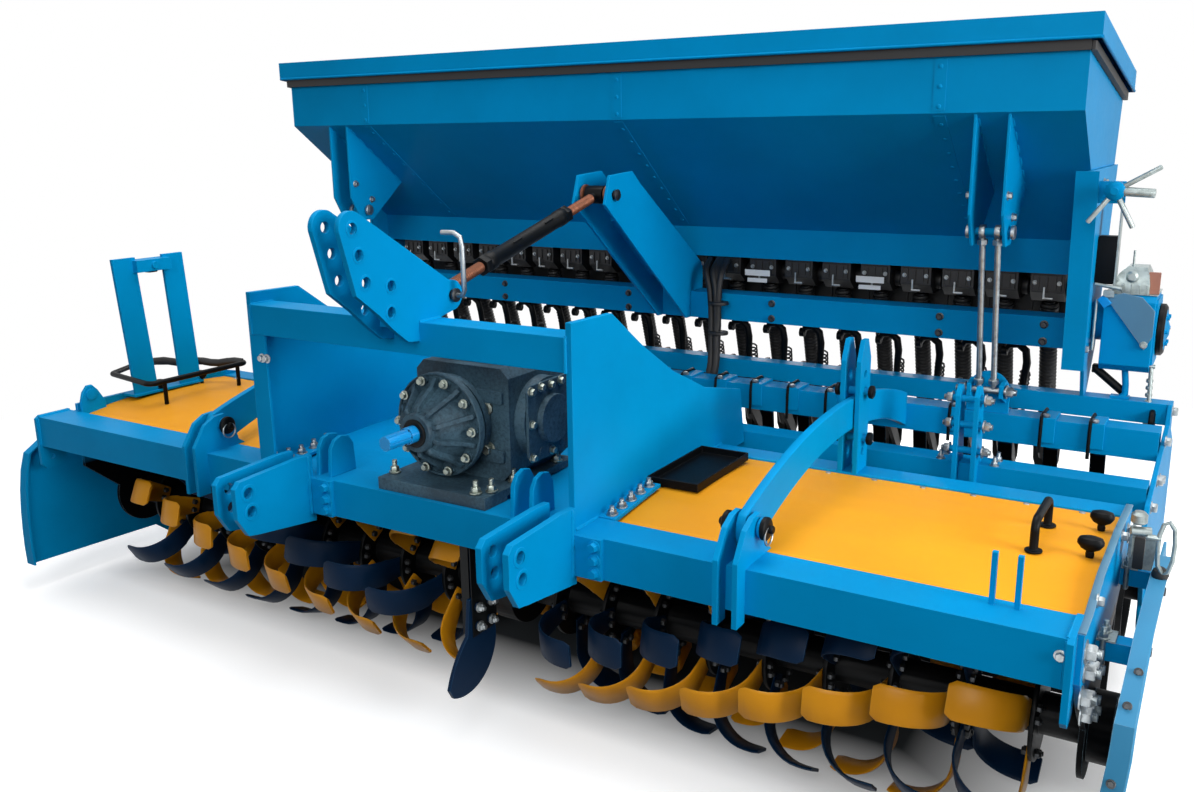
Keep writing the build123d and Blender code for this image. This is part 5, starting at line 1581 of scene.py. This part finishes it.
@dataclass
class DrillDrive(Assembly):
    """The drive at the drill's right end: seed rate star, cover, chain guard and side box."""

    plate_x: float = 1372.5
    star: tuple[float, float, float] = (1437.3, 1092.0, 714.0)
    pulley: tuple[float, float] = (1500.0, 306.0)
    case_top: float = 411.4

    def rate_star(self) -> None:
        """Draw the star handle that sets the seed rate, in place of its plain solid."""
        hub, arms = Sketch(), Sketch()
        x, s, h = self.star
        hub.lathe(self.at(x, s + 84, h), AHEAD,
                  [(12, 0), (12, 66), (20, 68), (24, 74), (24, 98), (18, 104), (9, 106), (9, 112)], 24)
        self.box(hub, (self.plate_x, s + 74, h - 36), (x + 16, s + 86, h + 20), 2)
        for turn, reach, thick in ((31, 116, 6.2), (-3, 88, 11.5), (-62, 100, 6.8), (-126, 96, 6.2)):
            a = math.radians(turn)
            way = Vector((math.cos(a), 0, math.sin(a)))
            root = self.at(x, s - 6, h)
            arms.lathe(root + way * 0.014, way,
                       [(thick * 0.8, 0), (thick, 4), (thick, reach * 0.84), (thick * 0.9, reach * 0.87),
                        (thick * 0.4, reach * 0.88)], 14)
        self.piece(hub, "rate_star_hub", Finish.BLUE)
        star = self.piece(arms, "rate_star_arms", Finish.GALVANISED, slot="zinc_plate")
        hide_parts("rate_handle")

    def cover(self) -> None:
        """Stand the black cover behind the star, with its bright edge and a rod across its foot."""
        cover, edge = Sketch(), Sketch()
        self.box(cover, (1373, 1392, 440), (1423, 1430, 574), 4)
        self.box(edge, (1423, 1390, 436), (1427, 1432, 668), 0.8)
        self.bar(edge, (1376, 1386, 440), (1446, 1386, 430), 5)
        self.piece(cover, "rate_cover", Finish.BLACK)
        self.piece(edge, "rate_cover_edge", Finish.GALVANISED)

    def side_box(self) -> None:
        """Set the galvanised gearbox and its red-brown tag on the case, and the pulley on the case's side."""
        box, plate, guard, dull = Sketch(), Sketch(), Sketch(), Sketch()
        low = [(1418, 1424), (1512, 1424), (1512, 1548), (1418, 1548)]
        levels = ((410, 0, 0), (438, 0, 0), (466, 8, 4), (486, 22, 10))
        box.loft([[self.at(x + (inset if x < 1460 else -inset) + lean, s + (inset if s < 1480 else -inset), h)
                   for x, s in low] for h, inset, lean in levels])
        for x in range(1424, 1505, 20):
            self.panel(box, (x, x + 4), 1424, (412, 440), 10, 0.8)
        self.bar(box, (1440, 1440, 440), (1398, 1404, 470), 6)
        self.bar(box, (1462, 1470, 480), (1462, 1470, 530), 3)
        box.lathe(self.at(1466, 1424, 462), AHEAD, [(16, 0), (16, 8), (10, 12)], 20)
        self.box(box, (1400, 1384, 404), (1428, 1400, 424), 2)
        self.box(plate, (1506, 1440, 412), (1536, 1448, 474), 1.5)
        guard.lathe(self.at(1539, *self.pulley), RIGHT, [(70, 0), (74, 3), (74, 14), (66, 20), (58, 20)], 40)
        dull.lathe(self.at(1558, *self.pulley), RIGHT, [(58, -4), (58, 1), (30, 4), (14, 10)], 32)
        s, h = self.pulley
        self.bolt_up(dull, [(1559, s + 42 * math.cos(a), h + 42 * math.sin(a)) for a in turns(6)], RIGHT, 6)
        self.piece(box, "side_box", Finish.GALVANISED, smooth=20)
        self.piece(plate, "side_box_tag", Finish.PRIMER)
        self.piece(guard, "side_pulley_guard", Finish.BLACK)
        self.piece(dull, "side_pulley_hub", Finish.BLUE)

    def case(self) -> None:
        """Screw a folded lid on the drive case and a folded grey chain guard across its front."""
        lid, guard, small, lug = Sketch(), Sketch(), Sketch(), Sketch()
        rim = ((1400, 1416), (1536, 1416), (1536, 1564), (1400, 1564))
        lid.plate([self.at(x, s, self.case_top) for x, s in rim], UP * 0.0022, 0.6)
        self.piece(lid, "drive_case_lid", Finish.GALVANISED)
        sheet = ((1406, 404), (1516, 262), (1534, 300), (1534, 372), (1500, 408), (1452, 418))
        guard.plate(self.face_on(1398, sheet), AHEAD * 0.004, 1)
        self.piece(guard, "chain_guard", Finish.SCUFFED)
        small.bolt(self.at(1514, 1394, 276), AHEAD, 7.5)
        self.bar(small, (1384, 1392, 398), (1384, 1392, 250), 4)
        self.piece(small, "chain_guard_bolt", Finish.GALVANISED)
        lug.plate(self.face_on(1396, ((1386, 396), (1402, 412), (1424, 388), (1406, 372))), AHEAD * 0.012, 2)
        self.piece(lug, "chain_guard_lug", Finish.SHAFT, slot="blue_shaft")

    def stay(self) -> None:
        """Brace the case to the rear tube with a bent stay, a chain run and an adjusting rod."""
        stay, black, rod = Sketch(), Sketch(), Sketch()
        bend = ((1470, 1440, 196), (1476, 1440, 150), (1478, 1432, 124), (1466, 1430, 112))
        stay.tube(self.path(bend), 9, 12)
        self.box(stay, (1440, 1418, 112), (1490, 1446, 118), 1)
        self.box(black, (1384, 1436, 176), (1400, 1460, 200), 3)
        self.bar(black, (1390, 1446, 190), (1470, 1446, 126), 12)
        black.lathe(self.at(1548, 1402, 60), RIGHT, [(30, 0), (34, 4), (34, 12), (26, 16)], 28)
        self.piece(black, "drive_chain_run", Finish.BLACK)
        self.bar(rod, (1538, 1420, 214), (1546, 1404, 20), 6)
        self.bar(rod, (1500, 1420, 214), (1548, 1420, 212), 6)
        for k in range(9):
            rod.lathe(self.at(1538 + 0.6 * k, 1420 - 1.6 * k, 176 - 20 * k), Vector((0, 0, -1)),
                      [(8.5, 0), (9.5, 3), (9.5, 7), (8.5, 10)], 12)
        self.piece(stay, "drive_case_stay", Finish.BLUE)
        self.piece(rod, "drive_adjusting_rod", Finish.GALVANISED)

    def flange(self) -> None:
        """Bolt the side frame's flange to the hopper and foot."""
        bolts = Sketch()
        bolts.bolt(self.at(1352, 1400, 250), AHEAD, 10)
        self.bolt_up(bolts, [(self.plate_x, s, h) for s, h in (
            (1230, 270), (1330, 262), (1440, 250), (1500, 300), (1240, 720), (1400, 720))], RIGHT, 9)
        self.piece(bolts, "drill_side_bolts", Finish.ZINC)

    def build(self) -> None:
        """Build the drive at the right end."""
        self.rate_star()
        self.cover()
        self.side_box()
        self.case()
        self.stay()
        self.flange()


@dataclass
class Packer(Assembly):
    """Bolts, scraper hoops and bearings of the roller frame."""

    tube_front: float = 945.0
    tube_middle: float = 1200.0
    half: float = 1560.0
    pitch: float = 125.0
    clamp_x: float = 1155.0
    end_x: float = 1602.0
    axle: tuple[float, float] = (1180.0, -360.0)
    crossings: tuple[float, ...] = (-1145.0, 1145.0, -750.0, 910.0)     # where arms cross the middle tube
    clear: float = 80.0

    def clamps(self) -> None:
        """Bolt the twin plates on the front tube and the roller's end plates."""
        bolts = Sketch()
        for side in (-1, 1):
            x = side * self.clamp_x
            for end in (-1, 1):
                self.bolt_up(bolts, [(x + end * 42, self.tube_front - 12, h) for h in (180, 110, 40)],
                             Vector((end, 0, 0)), 12.5, 6)
            self.bolt_up(bolts, [(x + dx, self.tube_front + ds, 0) for dx in (-70, 70) for ds in (14, 64)],
                         UP, 9, 12)
            self.bolt_up(bolts, [(side * self.end_x, s, h) for s, h in (
                (1092, -20), (1180, -40), (1270, 40), (1420, 90), (960, -50))], Vector((side, 0, 0)), 12)
        self.piece(bolts, "roller_clamp_bolts", Finish.ZINC)

    def scraper_bolts(self) -> None:
        """Bolt each scraper's strap, hoop it with a U-bolt and set a bright zinc cap beside the hoop as a
        painted highlight.
        """
        bolts, shine = Sketch(), Sketch()
        count = int((2 * self.half - 60) // self.pitch)
        for i in range(count):
            x = (i - (count - 1) / 2) * self.pitch
            bolts.bolt(self.at(x, self.tube_middle + 98, -30), Vector((0, 1, 0.1)), 9)
            if min(abs(x - crossing) for crossing in self.crossings) >= self.clear:
                a, b = self.tube_middle - 10, self.tube_middle + 90
                hoop = ((a, -14), (a, 60), (a + 4, 88), (a + 14, 91.5), (b - 12, 91.5), (b - 4, 86), (b, 60),
                        (b, -30))
                bolts.tube(self.side_on(x - 16, hoop), 4.8, 8)
                # painted highlight: a bright zinc cap on the tube's top beside each hoop
                shine.lathe(self.at(x - 6, self.tube_middle + 4, 87), UP,
                            [(10, 0), (11, 2), (11, 6), (7, 9)], 16)
        self.piece(bolts, "scraper_bolts", Finish.BLACK)
        self.piece(shine, "scraper_highlight_caps", Finish.ZINC)

    def bearings(self) -> None:
        """Fit a flanged bearing outside each end plate of the roller."""
        housings, bolts = Sketch(), Sketch()
        for side in (-1, 1):
            out = Vector((side, 0, 0))
            housings.lathe(self.at(side * (self.end_x - 0.5), *self.axle), out,
                           [(58, 0), (60, 2), (60, 10), (44, 14), (40, 26), (30, 30), (12, 31)], 36)
            self.bolt_up(bolts, [(side * (self.end_x + 9), self.axle[0] + 50 * math.cos(a),
                                  self.axle[1] + 50 * math.sin(a)) for a in turns(4, 45)], out, 8)
        self.piece(housings, "roller_bearing_flanges", Finish.BLACK)
        self.piece(bolts, "roller_bearing_bolts", Finish.ZINC)

    def build(self) -> None:
        """Build the roller frame's fittings."""
        self.clamps()
        self.scraper_bolts()
        self.bearings()


@dataclass
class EndGear(Assembly):
    """What is fitted at the ends: shield lips, end plate bolts, hanger clamps and the handle loop."""

    plate_x: float = 1574.0
    rotor_axle: tuple[float, float] = (330.0, -330.0)
    hangers: tuple[float, float] = (240.0, 640.0)
    shield_x: float = 1650.0
    sheet: float = 6.0
    knee: float = -200.0
    lean: float = 25.0
    edge: tuple[tuple[float, float], ...] = ((-47, -510), (-46, -450), (-42, -390), (-36, -330), (-26, -260),
                                             (-12, -195), (6, -140), (60, -108), (120, -74), (180, -40),
                                             (300, -38), (440, -38), (600, -38))

    def shield_at(self, height: float) -> float:
        """Work out the X of the shield's inner face at a height."""
        return self.shield_x - (self.lean * (self.knee - height) / 400 if height < self.knee else 0.0)

    def lips(self) -> None:
        """Fold a lip along the front edge of both shields."""
        for side, name, finish in ((1, "shield_lip_right", Finish.PALE_BLUE),
                                   (-1, "shield_lip_left", Finish.BLUE)):
            lip = Sketch()
            layers = []
            for k, (s, h) in enumerate(self.edge):
                x = self.shield_at(h)
                share = min(1.0, k / 9)
                inner, outer = x - 26 + 18 * share, x + self.sheet + 12 + 6 * share
                layers.append([self.at(side * a, s + b, h + c) for a, b, c in (
                    (inner, -5, 2), (outer - 3, -5, 2), (outer, -2, 1), (outer, 1.5, 0), (inner, 1.5, 0))])
            lip.loft(layers)
            self.piece(lip, name, finish)
        bolts = Sketch()
        self.bolt_up(bolts, ((1660, 99, -80), (1652, 34, -117), (1644, -30, -237), (1636, -46, -377)),
                     Vector((0, -1, 0.45)), 6)
        for side in (-1, 1):
            self.bolt_up(bolts, [(side * (self.shield_x + self.sheet), s, h) for s, h in (
                (200, -100), (280, -120), (600, -120), (680, -100))], Vector((side, 0, 0)), 11)
        self.piece(bolts, "shield_bolts", Finish.DULL_BOLT)

    def plate_bolts(self) -> None:
        """Bolt the end plate, the beam's end and the bearing."""
        bolts = Sketch()
        x, (s, h) = self.plate_x, self.rotor_axle
        self.bolt_up(bolts, ((x, 64, -46), (x, 80, -92), (x, 58, -134), (x, 140, -112), (x, 118, -162),
                             (x, 150, -200), (x, 96, -186)), RIGHT, 16.5, 9)
        self.bolt_up(bolts, [(x + 44, s + 56 * math.cos(a), h + 56 * math.sin(a)) for a in turns(6, 20)],
                     RIGHT, 10)
        bolts.bolt(self.at(1541, 0, -34), AHEAD, 8.5)
        self.bolt_up(bolts, ((x, 180, 6), (x, 560, 6), (x, 690, -20), (x, 740, -60)), RIGHT, 10)
        self.piece(bolts, "end_plate_bolts", Finish.ZINC)

    def capping(self) -> None:
        """Lay the scuffed top edge of the right end plate."""
        strip = Sketch()
        top = ((31, 0.4), (110, 0.4), (190, 12.9), (270, 25.4), (360, 25.4), (450, 25.4), (540, 25.4),
               (660, 17), (778, 7))
        section = ((1560.5, -1), (1575.5, -1), (1575.5, 1.4), (1574, 2.4), (1562, 2.4), (1560.5, 1.4))
        strip.loft([[self.at(x, s, h + up) for x, up in section] for s, h in top])
        self.piece(strip, "end_plate_edge", Finish.SCUFFED)

    def clamps(self) -> None:
        """Clamp the right shield's hangers with saddles and pins, and hang the handle loop beside them."""
        metal, rubber = Sketch(), Sketch()
        for s in self.hangers:
            x0, x1 = self.plate_x + 2, self.plate_x + 44
            self.box(metal, (x0, s - 26, -89), (x1 - 8, s + 26, -84), 1)
            self.bar(metal, (x0 + 12, s - 24, -84), (x0 + 12, s - 24, -134), 5.5)
            self.bar(metal, (x0 + 12, s - 24, -134), (x0 + 12, s + 24, -134), 5.5)
            self.bolt_up(metal, ((x0 + 12, s - 18, -84), (x0 + 12, s + 16, -84)), UP, 8.8, 10)
        self.box(metal, (1590, 600, -78), (1640, 606, -6), 1.2)
        self.box(metal, (1590, 560, -40), (1596, 640, 18), 1.2)
        self.bar(metal, (1592, 580, 6), (1640, 580, 6), 7)
        self.bar(metal, (1598, 450, 60), (1636, 460, 60), 10)
        metal.lathe(self.at(1612, 450, 78), UP, [(12, 0), (16, 4), (16, 20), (10, 26)], 18)
        self.box(rubber, (1606, 470, -30), (1626, 486, 40), 3)
        rubber.lathe(self.at(1660, 466, -46), UP, [(6, 0), (14, 6), (17, 16), (14, 26), (6, 32)], 20)
        loop = [(1652, 450, 60), (1658, 450, 84), (1668, 450, 90), (1678, 450, 76), (1681, 450, 44),
                (1680, 450, 8), (1674, 452, -18), (1664, 456, -24), (1654, 452, -6), (1651, 450, 28)]
        metal.tube(self.path(loop), 4.5, 10, closed=True)
        self.bar(metal, (1630, 450, 52), (1656, 450, 52), 5)
        self.piece(metal, "hanger_clamps", Finish.GALVANISED)
        self.piece(rubber, "hanger_rubbers", Finish.HOSE)

    def build(self) -> None:
        """Build the gear at the machine's ends."""
        self.lips()
        self.plate_bolts()
        self.capping()
        self.clamps()


@dataclass
class Paintwork(Assembly):
    """Finish of every CAD node."""

    def build(self) -> None:
        """Dress the nodes."""
        self.paint(Finish.BLUE, "front_beam", "rear_beam", "deck_centre", "centre_plate_left",
                   "centre_plate_right", "top_crossbeam", "side_shield_left", "portal_frame",
                   "lower_hitch_left", "lower_hitch_right", "top_hitch", "seeder_mast", "roller_arm_left",
                   "roller_arm_right", "arm_clevis_left", "arm_clevis_right", "depth_posts_left",
                   "depth_posts_right", "roller_end_left", "roller_end_right", "roller_tube_front",
                   "roller_tube_middle", "roller_tube_rear", "hopper", "hopper_lid", "hopper_brackets_left",
                   "hopper_brackets_right", "drill_side_left", "drill_side_right", "main_bar", "drive_case")
        self.paint(Finish.PALE_BLUE, "side_shield_right")
        self.paint(Finish.DIPPED, "end_frame_left", "end_frame_right")
        self.paint(Finish.YELLOW, "deck_left", "deck_right")
        self.paint(Finish.SLATE, "gearbox_housing", "gearbox_bell")
        self.paint(Finish.GOLD, "blades_gold_left", "blades_gold_right")
        self.paint(Finish.NAVY, "blades_dark_left", "blades_dark_right", "plough_foot")
        self.paint(Finish.BLACK, "rotor_left", "rotor_right", "rear_board", "centre_case",
                   "packer_roller", "coulters", "top_link", "deck_tray", "deck_handle", "loop_rail")
        self.paint(Finish.ZINC, "link_rods_left", "link_rods_right")
        self.paint(Finish.PLASTIC, "metering_units", "seed_tubes")
        self.paint(Finish.SCRAPER, "scrapers")
        self.paint(Finish.SHAFT, "pto_shaft")


def main() -> None:
    """Load the frame and build every sub-assembly on it."""
    logging.basicConfig(level=logging.INFO, format="%(message)s")
    for spare in list(bpy.data.objects):
        bpy.data.objects.remove(spare)
    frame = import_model()
    datum = Datum.read()
    bpy.context.scene.view_settings.view_transform = "Standard"
    Studio().build()
    for kind in (Paintwork, Rotor, Gearbox, Hitch, Frame, Deck, Hopper, Drill, DrillDrive, Packer, EndGear):
        kind(frame, datum).build()


if __name__ == "__main__":
    main()
